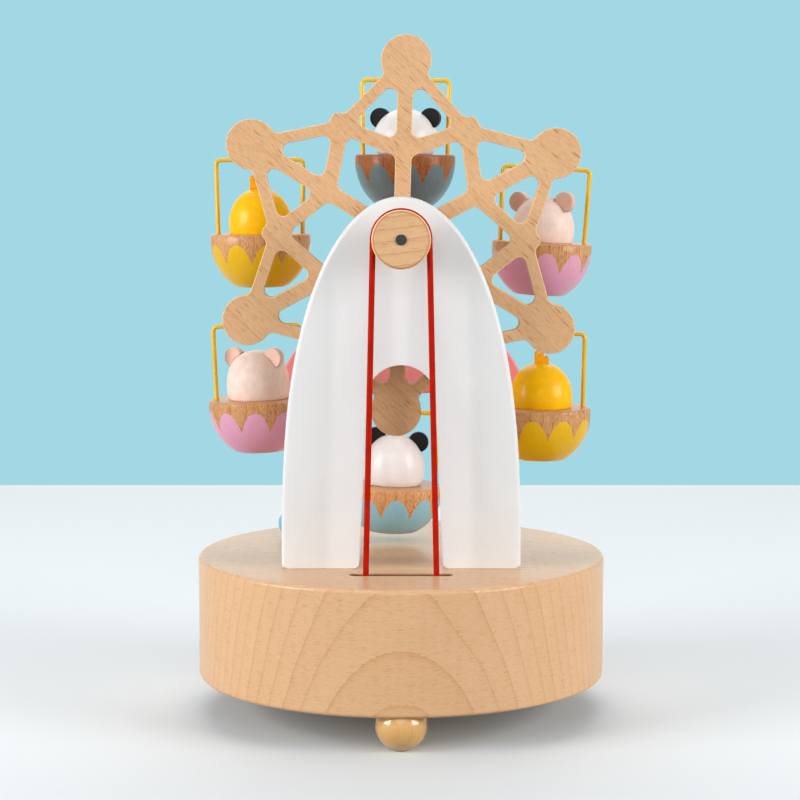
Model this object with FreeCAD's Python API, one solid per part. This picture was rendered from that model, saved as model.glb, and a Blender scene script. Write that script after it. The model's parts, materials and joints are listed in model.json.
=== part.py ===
"""Wind-up musical ferris wheel of turned and sawn wood.

Frame: millimetres, +Z up, origin on the floor under the axis of the round base.
The belt side faces -Y, the gondola side faces +Y, and the wheel turns about Y.
"""
import FreeCAD
import Part
import math
import os

V = FreeCAD.Vector
X_AXIS = V(1, 0, 0)
Y_AXIS = V(0, 1, 0)
Z_AXIS = V(0, 0, 1)

# ---- base -------------------------------------------------------------------
BASE_RADIUS = 62.5
BASE_HEIGHT = 37.1
BASE_TOP_THICKNESS = 6.0
BASE_EDGE_ROUND = 1.2
CAVITY_RADIUS = 43.3
FOOT_LIFT = 10.9
FOOT_RADIUS = 7.6
FOOT_FLAT_RADIUS = 2.0
FOOT_INSET = 0.95
FOOT_COUNT = 3
FOOT_DOWEL_RADIUS = 3.0
FOOT_DOWEL_LENGTH = 9.0
PLATE_THICKNESS = 3.0
PLATE_LEDGE = 4.7
PLATE_CLEARANCE = 0.2
SLOT_LENGTH = 30.7
SLOT_WIDTH = 4.0

# ---- fasteners --------------------------------------------------------------
SCREW_HEAD_RADIUS = 2.2
SCREW_RADIUS = 1.1
SCREW_HEAD_DEPTH = 1.3
SCREW_LENGTH = 12.0
SCREW_SLOT = 0.5
MACHINE_HEAD_RADIUS = 1.9
MACHINE_HEAD_HEIGHT = 1.3
MACHINE_RADIUS = 1.0
MACHINE_LENGTH = 5.0

# ---- support arch -----------------------------------------------------------
SUPPORT_FRONT = -28.6
SUPPORT_THICKNESS = 8.6
SUPPORT_HALF_WIDTH = 35.6
SUPPORT_CROWN = 12.15
SUPPORT_CURVE_POWER = 2.68
SUPPORT_EDGE_ROUND = 1.4
WINDOW_RADIUS = 10.2
WINDOW_SPRING = 50.6
WINDOW_FOOT_HALF = 12.6
SUPPORT_SCREW_X = 24.0

# ---- wheel ------------------------------------------------------------------
WHEEL_NEAR_FACE = -18.8
WHEEL_THICKNESS = 4.6
WHEEL_TURN = -1.64
GONDOLA_COUNT = 6
DISC_CIRCLE = 52.2
DISC_RADIUS = 7.5
HUB_RADIUS = 9.0
FORK_RADIUS = 25.4
MID_RADIUS = 37.2
NUB_TIP_RADIUS = 41.5
NUB_RADIUS = 2.3
SPOKE_WIDTH = 4.8
ARM_WIDTH = 4.6
BRACE_WIDTH = 4.4
RIM_WIDTH = 3.5
CORNER_ROUND = 2.2
AXLE_RADIUS = 1.6
HUB_CAP_THICKNESS = 5.0

# ---- bearing, pulleys and belt ------------------------------------------------
RUNNING_CLEARANCE = 0.05
BUSH_RADIUS = 2.9
BUSH_FLANGE_RADIUS = 4.3
BUSH_FLANGE_THICKNESS = 0.8
BUSH_STAND_OUT = 0.6
END_PLAY = 0.4
BELT_RADIUS = 0.88
BELT_CLEARANCE = 0.06
TOP_BELT_RADIUS = 8.2
DRIVE_BELT_RADIUS = 10.8
PULLEY_THICKNESS = 6.0
PULLEY_ROOM = 0.798
FLANGE_STAND_OUT = 0.4
PULLEY_EDGE = 0.5
BOSS_RADIUS = 4.2

# ---- gondolas ---------------------------------------------------------------
GONDOLA_Y = 21.5
PIN_RADIUS = 1.2
PIN_COLLAR_RADIUS = 2.2
PIN_COLLAR_THICKNESS = 1.2
PIN_DEPTH_IN_WHEEL = 3.6
HANGER_HALF_WIDTH = 2.6
HANGER_THICKNESS = 4.6
HANGER_FOOT = 2.0
BAR_DROP = 4.8
WIRE_RADIUS = 0.7
BAIL_TOP_HALF = 13.65
BAIL_FOOT_HALF = 13.2
BAIL_CORNER = 1.5
BAIL_DEPTH_IN_SEAT = 4.0
SEAT_DROP = 23.1
SEAT_FLOOR_GAP = 1.55
SEAT_RADIUS = 15.7
SEAT_HEIGHT = 16.6
SHORT_SEAT_HEIGHT = 14.9
SEAT_FLAT_RADIUS = 7.8
SEAT_BELLY_RADIUS = 13.9
SEAT_BELLY_DEPTH = 9.9
SEAT_RIM_ROUND = 0.8
SEAT_FOOT_ROUND = 2.0
HEAD_RADIUS = 9.9
TENON_RADIUS = 2.0
TENON_LENGTH = 3.0
EAR_RADIUS = 3.2
EAR_THICKNESS = 2.5
COMB_TOOTH_RADIUS = 0.61
COMB_TOOTH_PITCH = 1.52
COMB_TOOTH_RISES = (3.9, 3.3, 2.2)
COMB_NOTCH = 0.5
COMB_THICKNESS = 2.2
COMB_SINK = 1.2
# each rider's turned body: radius of its foot and height of its widest place
RIDER_SHAPES = {
    "panda": (8.0, 5.0),
    "chick": (9.4, 3.4),
    "bear": (9.0, 3.8),
}
# each gondola, anticlockwise from the top: rider, its height, fullness of its shoulders (2 is an
# ellipse), height of the seat, then in degrees the tilt about Y and the turn of the rider about Z
GONDOLAS = (
    ("panda", 14.3, 2.0, SEAT_HEIGHT, 0.4, -15.0),
    ("chick", 14.4, 2.0, SEAT_HEIGHT, -0.4, 0.0),
    ("bear", 15.3, 2.4, SEAT_HEIGHT, -1.5, -28.0),
    ("panda", 16.5, 2.0, SHORT_SEAT_HEIGHT, 2.2, 0.0),
    ("chick", 14.1, 2.0, SEAT_HEIGHT, 0.2, 0.0),
    ("bear", 14.6, 2.0, SEAT_HEIGHT, 3.2, -33.0),
)
# ears by gondola: out from the middle, behind it, below the crown, then the roll in degrees about Y
EAR_PLACES = {
    0: (8.1, 0.0, 3.0, 0.0),
    2: (7.2, 1.8, 2.1, 0.0),
    3: (6.8, 0.6, 2.1, 4.5),
    5: (8.2, 0.7, 2.1, -3.0),
}
# comb by gondola: how far its middle tooth stands to the right of the middle
COMB_PLACES = {1: -0.9, 4: 0.1}

# ---- station gate behind the wheel ---------------------------------------------
GATE_GAP = 5.8
GATE_THICKNESS = 6.0
GATE_ARCH_RADIUS = 43.7
GATE_ARCH_CENTRE = 32.0
GATE_SILL = 44.9
GATE_EDGE_ROUND = 0.8
POST_RADIUS = 3.5
POST_X = 25.0
POST_TENON_RADIUS = 2.0
POST_TENON_LENGTH = 4.0
BALL_RADIUS = 4.5
BALL_X = -35.1
BALL_Y = 30.0
BALL_FLAT_RADIUS = 1.6

# ---- musical movement in the base -----------------------------------------------
BED_THICKNESS = 2.6
BED_LEFT = -13.0
BED_RIGHT = 21.0
BED_LIP = 2.2
BED_TAIL = 15.0
ARBOR_RADIUS = 1.5
UPRIGHT_HALF_WIDTH = 4.0
UPRIGHT_THICKNESS = 1.8
DRIVE_BOSS_LENGTH = 2.8
CYLINDER_RADIUS = 6.5
CYLINDER_LENGTH = 17.8
CYLINDER_FRONT_GAP = 3.0
CYLINDER_BACK_GAP = 0.8
CYLINDER_PIN_RADIUS = 0.3
CYLINDER_PIN_RISE = 0.7
COMB_GAP = 0.3
NOTE_COUNT = 18
NOTE_SLOT = 0.25
REED_LENGTH = 6.0
REED_THICKNESS = 1.0
COMB_RIGHT = 19.0
RAIL_LEFT = 14.2
MODULE = 0.8
PINION_TEETH = 10
CROWN_TEETH = 32
GEAR_FACE = 2.0
PINION_GAP = 0.8
TOOTH_ADDENDUM = 0.7
TOOTH_DEDENDUM = 1.0
TOOTH_ROOT_WIDTH = 1.1
TOOTH_TIP_WIDTH = 0.45
BARREL_RADIUS = 11.5
BARREL_HEIGHT = 5.6
BARREL_WALL = 1.0
BARREL_GAP = 0.3
BARREL_HUB_RADIUS = 3.2
CROWN_PLATE = 1.2
SPRING_STRIP = 0.35
SPRING_PITCH = 1.3
SPRING_HALF_TURNS = 9
SPRING_SIDE_GAP = 0.6
GOVERNOR_CHEEK_X = 9.2
GOVERNOR_CHEEK = 1.3
GOVERNOR_DEPTH = 3.0
GOVERNOR_LIFT = 6.0
WORM_RADIUS = 0.95
GOVERNOR_SHAFT_RADIUS = 0.6
FAN_RADIUS = 4.6
FAN_LENGTH = 6.0
FAN_BLADE = 0.5
KEY_CLEARANCE = 1.6
KEY_TOP_GAP = 1.5
KEY_BOSS_RADIUS = 3.0
KEY_WING_X = 8.4
KEY_WING_HOLE = 1.8
KEY_WING_THICKNESS = 1.6
COLLAR_RADIUS = 2.6

# ---- worked out from the sizes above --------------------------------------------
BASE_TOP = FOOT_LIFT + BASE_HEIGHT
FOOT_CIRCLE = (BASE_RADIUS + CAVITY_RADIUS + PLATE_LEDGE) / 2 - FOOT_INSET
HUB_HEIGHT = DISC_CIRCLE + BAR_DROP + SEAT_DROP + SEAT_HEIGHT + SEAT_FLOOR_GAP
HUB_Z = BASE_TOP + HUB_HEIGHT
SUPPORT_HEIGHT = HUB_HEIGHT + SUPPORT_CROWN
SUPPORT_BACK = SUPPORT_FRONT + SUPPORT_THICKNESS
WHEEL_FAR_FACE = WHEEL_NEAR_FACE + WHEEL_THICKNESS
DRIVE_RIM_RADIUS = DRIVE_BELT_RADIUS + FLANGE_STAND_OUT
BELT_Y = PULLEY_THICKNESS / 2 - math.sqrt((CAVITY_RADIUS - PULLEY_ROOM) ** 2 - DRIVE_RIM_RADIUS ** 2)
PULLEY_FRONT = BELT_Y - PULLEY_THICKNESS / 2
PULLEY_BACK = BELT_Y + PULLEY_THICKNESS / 2
CEILING = BASE_TOP - BASE_TOP_THICKNESS
PLATE_TOP = FOOT_LIFT + PLATE_THICKNESS
BED_TOP = PLATE_TOP + BED_THICKNESS
BARREL_FLOOR = BED_TOP + BARREL_GAP
CROWN_FLOOR = BARREL_FLOOR + BARREL_HEIGHT
TOOTH_ROOT_Z = CROWN_FLOOR + CROWN_PLATE
PINION_PITCH_RADIUS = MODULE * PINION_TEETH / 2
CROWN_PITCH_RADIUS = MODULE * CROWN_TEETH / 2
ARBOR_Z = TOOTH_ROOT_Z + TOOTH_DEDENDUM + PINION_PITCH_RADIUS
FRONT_UPRIGHT_Y = PULLEY_BACK + DRIVE_BOSS_LENGTH + END_PLAY
CYLINDER_START = FRONT_UPRIGHT_Y + UPRIGHT_THICKNESS + CYLINDER_FRONT_GAP
CYLINDER_END = CYLINDER_START + CYLINDER_LENGTH
NOTE_PITCH = CYLINDER_LENGTH / (NOTE_COUNT + 1)
REAR_UPRIGHT_Y = CYLINDER_END + CYLINDER_BACK_GAP
PINION_Y = REAR_UPRIGHT_Y + UPRIGHT_THICKNESS + PINION_GAP + GEAR_FACE / 2
BARREL_Y = PINION_Y + CROWN_PITCH_RADIUS
BED_FRONT = FRONT_UPRIGHT_Y - BED_LIP
BED_BACK = BARREL_Y + BED_TAIL
GATE_Y = GONDOLA_Y + SEAT_RADIUS + GATE_GAP
PITCH_STEP = 360.0 / GONDOLA_COUNT
SCREW_CIRCLE = CAVITY_RADIUS + PLATE_LEDGE / 2


# ---- shared shapes ----------------------------------------------------------
def rod(radius, start, end, axis):
    """A round bar between two points of one axis direction."""
    return Part.makeCylinder(radius, (end - start).Length, start, axis)


def rod_y(radius, x, z, y_start, y_end):
    """A round bar along Y."""
    return rod(radius, V(x, y_start, z), V(x, y_end, z), Y_AXIS)


def rod_z(radius, x, y, z_start, z_end):
    """A round bar along Z."""
    return rod(radius, V(x, y, z_start), V(x, y, z_end), Z_AXIS)


def block(x_range, y_range, z_range):
    """A rectangular block given by its lowest and highest value on each axis."""
    size = (x_range[1] - x_range[0], y_range[1] - y_range[0], z_range[1] - z_range[0])
    return Part.makeBox(*size, V(x_range[0], y_range[0], z_range[0]))


def bar_face(start, end, width):
    """A flat strip in the XZ plane, centred on the line from start to end."""
    along = (end - start).normalize()
    side = V(-along.z, 0, along.x) * (width / 2)
    return Part.Face(Part.makePolygon([start + side, end + side, end - side, start - side, start + side]))


def disc_face(centre, radius):
    """A flat disc in the XZ plane."""
    return Part.Face(Part.Wire(Part.makeCircle(radius, centre, Y_AXIS)))


def polar(radius, degrees, y=0.0):
    """A point on the wheel, by radius and angle from +X towards +Z about the hub."""
    angle = math.radians(degrees)
    return V(radius * math.cos(angle), y, HUB_Z + radius * math.sin(angle))


def spun(profile):
    """A solid of revolution about Z from edges that close on themselves in the XZ plane."""
    return Part.Face(Part.Wire(profile)).revolve(V(0, 0, 0), Z_AXIS, 360)


def line(a, b):
    """A straight edge between two (radius, height) points of a turned profile."""
    return Part.makeLine(V(a[0], 0, a[1]), V(b[0], 0, b[1]))


def arc(a, mid, b):
    """A round edge through three (radius, height) points of a turned profile."""
    return Part.Arc(V(a[0], 0, a[1]), V(mid[0], 0, mid[1]), V(b[0], 0, b[1])).toShape()


def quarter_oval(end_radius, widest_radius, widest_height, rise, fullness):
    """A quarter oval of a turned profile, from its widest point up, or down for a negative rise."""
    steps = [i * math.pi / 16 for i in range(9)]
    reach = widest_radius - end_radius
    power = 2 / fullness
    points = [V(end_radius + reach * math.cos(t) ** power, 0, widest_height + rise * math.sin(t) ** power)
              for t in steps]
    curve = Part.BSplineCurve()
    curve.interpolate(points, InitialTangent=V(0, 0, rise), FinalTangent=V(-1, 0, 0))
    return curve.toShape()


def save(name, shape):
    """Write one sub-part as a STEP file."""
    shape.exportStep("parts/" + name + ".step")


def save_group(name, solids):
    """Write several separate solids as one sub-part."""
    save(name, Part.Compound(solids))


# ---- fasteners --------------------------------------------------------------
def wood_screw(x, y, z):
    """A countersunk wood screw pointing up, with its head flush at height z."""
    slot = block((x - SCREW_HEAD_RADIUS, x + SCREW_HEAD_RADIUS),
                 (y - SCREW_SLOT / 2, y + SCREW_SLOT / 2), (z - SCREW_SLOT, z + SCREW_SLOT))
    return wood_screw_hole(x, y, z).removeSplitter().cut(slot)


def wood_screw_hole(x, y, z):
    """The countersunk hole that a wood screw fills."""
    head = Part.makeCone(SCREW_HEAD_RADIUS, SCREW_RADIUS, SCREW_HEAD_DEPTH, V(x, y, z))
    shank = rod_z(SCREW_RADIUS, x, y, z + SCREW_HEAD_DEPTH, z + SCREW_LENGTH - SCREW_RADIUS * 2)
    point = Part.makeCone(SCREW_RADIUS, 0, SCREW_RADIUS * 2, V(x, y, z + SCREW_LENGTH - SCREW_RADIUS * 2))
    return head.fuse([shank, point])


def plate_screw_places():
    """Where the three screws of the bottom plate stand, midway between the feet."""
    angles = [math.radians(90 + i * 360 / FOOT_COUNT) for i in range(FOOT_COUNT)]
    return [(SCREW_CIRCLE * math.cos(a), SCREW_CIRCLE * math.sin(a)) for a in angles]


def support_screw_places():
    """Where the two screws go up through the base into the legs of the arch."""
    middle = SUPPORT_FRONT + SUPPORT_THICKNESS / 2
    return [(-SUPPORT_SCREW_X, middle), (SUPPORT_SCREW_X, middle)]


def machine_screw(x, y, z):
    """A cheese-head screw pointing down, with its head standing on height z."""
    head = rod_z(MACHINE_HEAD_RADIUS, x, y, z, z + MACHINE_HEAD_HEIGHT)
    shank = rod_z(MACHINE_RADIUS, x, y, z - MACHINE_LENGTH, z)
    top = z + MACHINE_HEAD_HEIGHT
    slot = block((x - MACHINE_HEAD_RADIUS, x + MACHINE_HEAD_RADIUS),
                 (y - SCREW_SLOT / 2, y + SCREW_SLOT / 2), (top - SCREW_SLOT, top + 1))
    return head.fuse(shank).cut(slot)


def bed_screw_places():
    """Corners of the movement bedplate that are screwed to the bottom plate."""
    inset = MACHINE_HEAD_RADIUS + 1
    return [(BED_LEFT + inset, BED_FRONT + inset), (BED_LEFT + inset, BED_BACK - inset),
            (BED_RIGHT - inset, BED_BACK - inset), (BED_RIGHT - inset, BED_FRONT + inset)]


def comb_screw_places():
    """Screws that hold the steel comb down on its rail."""
    x = (RAIL_LEFT + COMB_RIGHT) / 2
    quarter = (CYLINDER_END - CYLINDER_START) / 4
    return [(x, CYLINDER_START + quarter), (x, CYLINDER_END - quarter)]


# ---- base -------------------------------------------------------------------
def foot_places():
    """Centres of the ball feet, the first one on the belt side."""
    angles = [math.radians(270 + i * 360 / FOOT_COUNT) for i in range(FOOT_COUNT)]
    return [(FOOT_CIRCLE * math.cos(a), FOOT_CIRCLE * math.sin(a)) for a in angles]


def base():
    """The round wooden base, bored out from below for the movement, slotted for the belt."""
    body = rod_z(BASE_RADIUS, 0, 0, FOOT_LIFT, BASE_TOP)
    rims = [edge for edge in body.Edges if abs(edge.Length - 2 * math.pi * BASE_RADIUS) < 0.01]
    body = body.makeFillet(BASE_EDGE_ROUND, rims)
    half_run = (SLOT_LENGTH - SLOT_WIDTH) / 2
    cuts = [rod_z(CAVITY_RADIUS, 0, 0, FOOT_LIFT - 1, CEILING),
            rod_z(CAVITY_RADIUS + PLATE_LEDGE, 0, 0, FOOT_LIFT - 1, PLATE_TOP),
            block((-half_run, half_run), (BELT_Y - SLOT_WIDTH / 2, BELT_Y + SLOT_WIDTH / 2),
                  (CEILING - 1, BASE_TOP + 1)),
            rod_z(SLOT_WIDTH / 2, -half_run, BELT_Y, CEILING - 1, BASE_TOP + 1),
            rod_z(SLOT_WIDTH / 2, half_run, BELT_Y, CEILING - 1, BASE_TOP + 1)]
    for x, y in foot_places():
        cuts.append(rod_z(FOOT_DOWEL_RADIUS, x, y, FOOT_LIFT - 1, FOOT_LIFT + FOOT_DOWEL_LENGTH))
    for x, y in plate_screw_places():
        cuts.append(wood_screw_hole(x, y, FOOT_LIFT))
    for x, y in support_screw_places():
        cuts.append(wood_screw_hole(x, y, CEILING))
    for x in (-POST_X, POST_X):
        cuts.append(rod_z(POST_TENON_RADIUS, x, GATE_Y + GATE_THICKNESS / 2,
                          BASE_TOP - POST_TENON_LENGTH, BASE_TOP + 1))
    cuts.append(rod_z(BALL_FLAT_RADIUS, BALL_X, BALL_Y, BASE_TOP - POST_TENON_LENGTH, BASE_TOP + 1))
    for tool in cuts:
        body = body.cut(tool)
    return body


def ball_foot(x, y):
    """A wooden ball with a small flat to stand on, cut flat on top, with its dowel."""
    centre = math.sqrt(FOOT_RADIUS ** 2 - FOOT_FLAT_RADIUS ** 2)
    ball = Part.makeSphere(FOOT_RADIUS, V(x, y, centre))
    keep = rod_z(FOOT_RADIUS + 1, x, y, 0, FOOT_LIFT)
    dowel = rod_z(FOOT_DOWEL_RADIUS, x, y, FOOT_LIFT - 1, FOOT_LIFT + FOOT_DOWEL_LENGTH)
    return ball.common(keep).fuse(dowel)


def bottom_plate():
    """The thin round lid that closes the base and carries the movement."""
    plate = rod_z(CAVITY_RADIUS + PLATE_LEDGE - PLATE_CLEARANCE, 0, 0, FOOT_LIFT, PLATE_TOP)
    plate = plate.cut(rod_z(KEY_BOSS_RADIUS, 0, BARREL_Y, FOOT_LIFT - 1, PLATE_TOP + 1))
    for x, y in plate_screw_places():
        plate = plate.cut(wood_screw_hole(x, y, FOOT_LIFT))
    for x, y in bed_screw_places():
        plate = plate.cut(rod_z(MACHINE_RADIUS, x, y, BED_TOP - MACHINE_LENGTH, PLATE_TOP + 1))
    return plate


# ---- support arch -----------------------------------------------------------
def support_half_width(height):
    """Half width of the arch at a height above the base: upright sides, round top."""
    share = min(height / SUPPORT_HEIGHT, 1.0)
    return SUPPORT_HALF_WIDTH * math.sqrt(1 - share ** SUPPORT_CURVE_POWER)


def support_outline():
    """The bullet shape of the arch as one closed wire on its near face."""
    shares = (0.0, 0.2, 0.4, 0.6, 0.76, 0.88, 0.955, 0.99)
    right = [V(support_half_width(s * SUPPORT_HEIGHT), SUPPORT_FRONT, BASE_TOP + s * SUPPORT_HEIGHT)
             for s in shares]
    top = V(0, SUPPORT_FRONT, BASE_TOP + SUPPORT_HEIGHT)
    left = [V(-p.x, p.y, p.z) for p in reversed(right)]
    curve = Part.BSplineCurve()
    curve.interpolate(right + [top] + left, InitialTangent=Z_AXIS, FinalTangent=V(0, 0, -1))
    return Part.Wire([curve.toShape(), Part.makeLine(left[-1], right[0])])


def support_arch():
    """The white board that carries the wheel, with its arched window and bearing hole."""
    board = Part.Face(support_outline()).extrude(V(0, SUPPORT_THICKNESS, 0))
    curved = [edge for edge in board.Edges if edge.Length > 2 * SUPPORT_HEIGHT]
    board = board.makeFillet(SUPPORT_EDGE_ROUND, curved)
    y = SUPPORT_FRONT - 1
    spring = BASE_TOP + WINDOW_SPRING
    window = Part.Wire([
        Part.makeLine(V(-WINDOW_FOOT_HALF, y, BASE_TOP - 1), V(-WINDOW_RADIUS, y, spring)),
        Part.Arc(V(-WINDOW_RADIUS, y, spring), V(0, y, spring + WINDOW_RADIUS),
                 V(WINDOW_RADIUS, y, spring)).toShape(),
        Part.makeLine(V(WINDOW_RADIUS, y, spring), V(WINDOW_FOOT_HALF, y, BASE_TOP - 1)),
        Part.makeLine(V(WINDOW_FOOT_HALF, y, BASE_TOP - 1), V(-WINDOW_FOOT_HALF, y, BASE_TOP - 1))])
    board = board.cut(Part.Face(window).extrude(V(0, SUPPORT_THICKNESS + 2, 0)))
    board = board.cut(rod_y(BUSH_RADIUS, 0, HUB_Z, SUPPORT_FRONT - 1, SUPPORT_BACK + 1))
    for x, y in support_screw_places():
        board = board.cut(wood_screw_hole(x, y, CEILING))
    return board


def axle_bush():
    """The flanged brass bearing pressed into the arch from the belt side."""
    flange = rod_y(BUSH_FLANGE_RADIUS, 0, HUB_Z, SUPPORT_FRONT - BUSH_FLANGE_THICKNESS, SUPPORT_FRONT)
    sleeve = rod_y(BUSH_RADIUS, 0, HUB_Z, SUPPORT_FRONT, SUPPORT_BACK + BUSH_STAND_OUT)
    bore = rod_y(AXLE_RADIUS + RUNNING_CLEARANCE, 0, HUB_Z,
                 SUPPORT_FRONT - BUSH_RADIUS, SUPPORT_BACK + BUSH_RADIUS)
    return flange.fuse(sleeve).cut(bore)


# ---- wheel ------------------------------------------------------------------
def disc_angles():
    """Angles of the six discs, from the top one anticlockwise as seen from the belt side."""
    return [90 + WHEEL_TURN + i * PITCH_STEP for i in range(GONDOLA_COUNT)]


def wheel_faces():
    """The strips and discs that make up the flat lattice of the wheel."""
    y = WHEEL_NEAR_FACE
    faces = [disc_face(polar(0, 0, y), HUB_RADIUS)]
    for angle in disc_angles():
        fork = polar(FORK_RADIUS, angle, y)
        disc = polar(DISC_CIRCLE, angle, y)
        faces.append(bar_face(polar(0, 0, y), fork, SPOKE_WIDTH))
        faces.append(bar_face(fork, disc, ARM_WIDTH))
        faces.append(disc_face(fork, SPOKE_WIDTH / 2))
        faces.append(disc_face(disc, DISC_RADIUS))
        for side in (-1, 1):
            middle = polar(MID_RADIUS, angle + side * PITCH_STEP / 2, y)
            faces.append(bar_face(fork, middle, BRACE_WIDTH))
            faces.append(bar_face(disc, middle, RIM_WIDTH))
        between = angle + PITCH_STEP / 2
        faces.append(bar_face(polar(MID_RADIUS - BRACE_WIDTH / 2, between, y),
                              polar(NUB_TIP_RADIUS - NUB_RADIUS, between, y), 2 * NUB_RADIUS))
        faces.append(disc_face(polar(NUB_TIP_RADIUS - NUB_RADIUS, between, y), NUB_RADIUS))
    return faces


def wheel_frame():
    """The sawn wooden lattice, its inner corners rounded by the cutter."""
    faces = wheel_faces()
    flat = faces[0].multiFuse(faces[1:]).removeSplitter().Faces[0]
    eased = flat.makeOffset2D(CORNER_ROUND).Faces[0].makeOffset2D(-CORNER_ROUND).Faces[0]
    wheel = eased.extrude(V(0, WHEEL_THICKNESS, 0))
    wheel = wheel.cut(rod_y(AXLE_RADIUS, 0, HUB_Z, WHEEL_NEAR_FACE - 1, WHEEL_FAR_FACE + 1))
    for angle in disc_angles():
        centre = polar(DISC_CIRCLE, angle)
        wheel = wheel.cut(rod_y(PIN_RADIUS, centre.x, centre.z,
                                WHEEL_FAR_FACE - PIN_DEPTH_IN_WHEEL, WHEEL_FAR_FACE + 1))
    return wheel


def hub_cap():
    """The wooden button that closes the hub on the gondola side."""
    cap = rod_y(HUB_RADIUS, 0, HUB_Z, WHEEL_FAR_FACE, WHEEL_FAR_FACE + HUB_CAP_THICKNESS)
    rim = [edge for edge in cap.Edges if edge.BoundBox.YMin > WHEEL_FAR_FACE + HUB_CAP_THICKNESS - 0.01]
    cap = cap.makeFillet(BASE_EDGE_ROUND, rim)
    return cap.cut(rod_y(AXLE_RADIUS, 0, HUB_Z, WHEEL_FAR_FACE - 1, WHEEL_FAR_FACE + HUB_CAP_THICKNESS + 1))


def wheel_axle():
    """The steel axle from the top pulley through the bush into the hub."""
    return rod_y(AXLE_RADIUS, 0, HUB_Z, PULLEY_FRONT - PULLEY_EDGE / 2, WHEEL_FAR_FACE + HUB_CAP_THICKNESS)


def pulley(belt_radius, z, bore_radius, boss_end):
    """A turned wooden pulley with a round-bottomed groove and a boss towards +Y."""
    rim_radius = belt_radius + FLANGE_STAND_OUT
    groove_half = BELT_RADIUS + BELT_CLEARANCE
    disc = rod_y(rim_radius, 0, z, PULLEY_FRONT, PULLEY_BACK)
    rims = [edge for edge in disc.Edges if edge.Length > 2 * math.pi * rim_radius - 0.01]
    disc = disc.makeChamfer(PULLEY_EDGE, rims)
    centre = V(0, BELT_Y, z)
    groove = Part.makeTorus(belt_radius, groove_half, centre, Y_AXIS)
    throat = rod_y(rim_radius + 1, 0, z, BELT_Y - groove_half, BELT_Y + groove_half)
    throat = throat.cut(rod_y(belt_radius, 0, z, BELT_Y - groove_half - 1, BELT_Y + groove_half + 1))
    disc = disc.cut(groove).cut(throat)
    disc = disc.fuse(rod_y(BOSS_RADIUS, 0, z, PULLEY_BACK, boss_end))
    return disc.cut(rod_y(bore_radius, 0, z, PULLEY_FRONT - 1, boss_end + 1))


def top_pulley():
    """The pulley on the wheel axle."""
    return pulley(TOP_BELT_RADIUS, HUB_Z, AXLE_RADIUS, SUPPORT_FRONT - BUSH_FLANGE_THICKNESS - END_PLAY)


def gondola_pin(centre):
    """A steel pin in a wheel disc, with a collar and a riveted head each side of the hanger."""
    near = GONDOLA_Y - HANGER_THICKNESS / 2 - RUNNING_CLEARANCE * 4
    far = GONDOLA_Y + HANGER_THICKNESS / 2 + RUNNING_CLEARANCE * 4
    shank = rod_y(PIN_RADIUS, centre.x, centre.z, WHEEL_FAR_FACE - PIN_DEPTH_IN_WHEEL,
                  far + PIN_COLLAR_THICKNESS)
    collar = rod_y(PIN_COLLAR_RADIUS, centre.x, centre.z, near - PIN_COLLAR_THICKNESS, near)
    head = rod_y(PIN_COLLAR_RADIUS, centre.x, centre.z, far, far + PIN_COLLAR_THICKNESS)
    return shank.fuse([collar, head])


# ---- belt -------------------------------------------------------------------
def drive_belt():
    """The endless round rubber belt between the two pulleys."""
    centres = HUB_Z - ARBOR_Z
    lean = math.asin((DRIVE_BELT_RADIUS - TOP_BELT_RADIUS) / centres)
    out = V(math.cos(lean), 0, math.sin(lean))
    mirror = V(-out.x, 0, out.z)
    top = V(0, BELT_Y, HUB_Z)
    low = V(0, BELT_Y, ARBOR_Z)
    path = Part.Wire([
        Part.makeLine(low + out * DRIVE_BELT_RADIUS, top + out * TOP_BELT_RADIUS),
        Part.Arc(top + out * TOP_BELT_RADIUS, top + Z_AXIS * TOP_BELT_RADIUS,
                 top + mirror * TOP_BELT_RADIUS).toShape(),
        Part.makeLine(top + mirror * TOP_BELT_RADIUS, low + mirror * DRIVE_BELT_RADIUS),
        Part.Arc(low + mirror * DRIVE_BELT_RADIUS, low - Z_AXIS * DRIVE_BELT_RADIUS,
                 low + out * DRIVE_BELT_RADIUS).toShape()])
    along = (top + out * TOP_BELT_RADIUS) - (low + out * DRIVE_BELT_RADIUS)
    section = Part.Wire(Part.makeCircle(BELT_RADIUS, low + out * DRIVE_BELT_RADIUS, along))
    return path.makePipeShell([section], True, False)


# ---- gondolas ---------------------------------------------------------------
def placed(shape, index):
    """Hang a gondola piece, drawn about its own pivot, on its disc of the wheel."""
    pivot = polar(DISC_CIRCLE, disc_angles()[index], GONDOLA_Y)
    tilt = GONDOLAS[index][4]
    result = shape.copy()
    hung = FreeCAD.Placement(pivot, FreeCAD.Rotation(Y_AXIS, tilt))
    result.Placement = hung.multiply(result.Placement)
    return result


def hanger():
    """The link that turns on the pin and holds the top bar of the bail in a cross hole."""
    half = HANGER_THICKNESS / 2
    foot = -BAR_DROP - HANGER_FOOT
    body = rod_y(HANGER_HALF_WIDTH, 0, 0, -half, half)
    body = body.fuse(block((-HANGER_HALF_WIDTH, HANGER_HALF_WIDTH), (-half, half), (foot, 0)))
    body = body.removeSplitter().cut(rod_y(PIN_RADIUS + RUNNING_CLEARANCE, 0, 0, -half - 1, half + 1))
    bar = rod(WIRE_RADIUS, V(-BAIL_TOP_HALF, 0, -BAR_DROP), V(BAIL_TOP_HALF, 0, -BAR_DROP), X_AXIS)
    return body.cut(bar)


def bail_leg():
    """Foot and top corner of the right leg of the bail, along the middle of the wire."""
    foot = V(BAIL_FOOT_HALF, 0, -BAR_DROP - SEAT_DROP - BAIL_DEPTH_IN_SEAT)
    return foot, V(BAIL_TOP_HALF, 0, -BAR_DROP)


def mirrored(point):
    """The same point on the other side of the middle plane of a gondola."""
    return V(-point.x, point.y, point.z)


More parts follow.
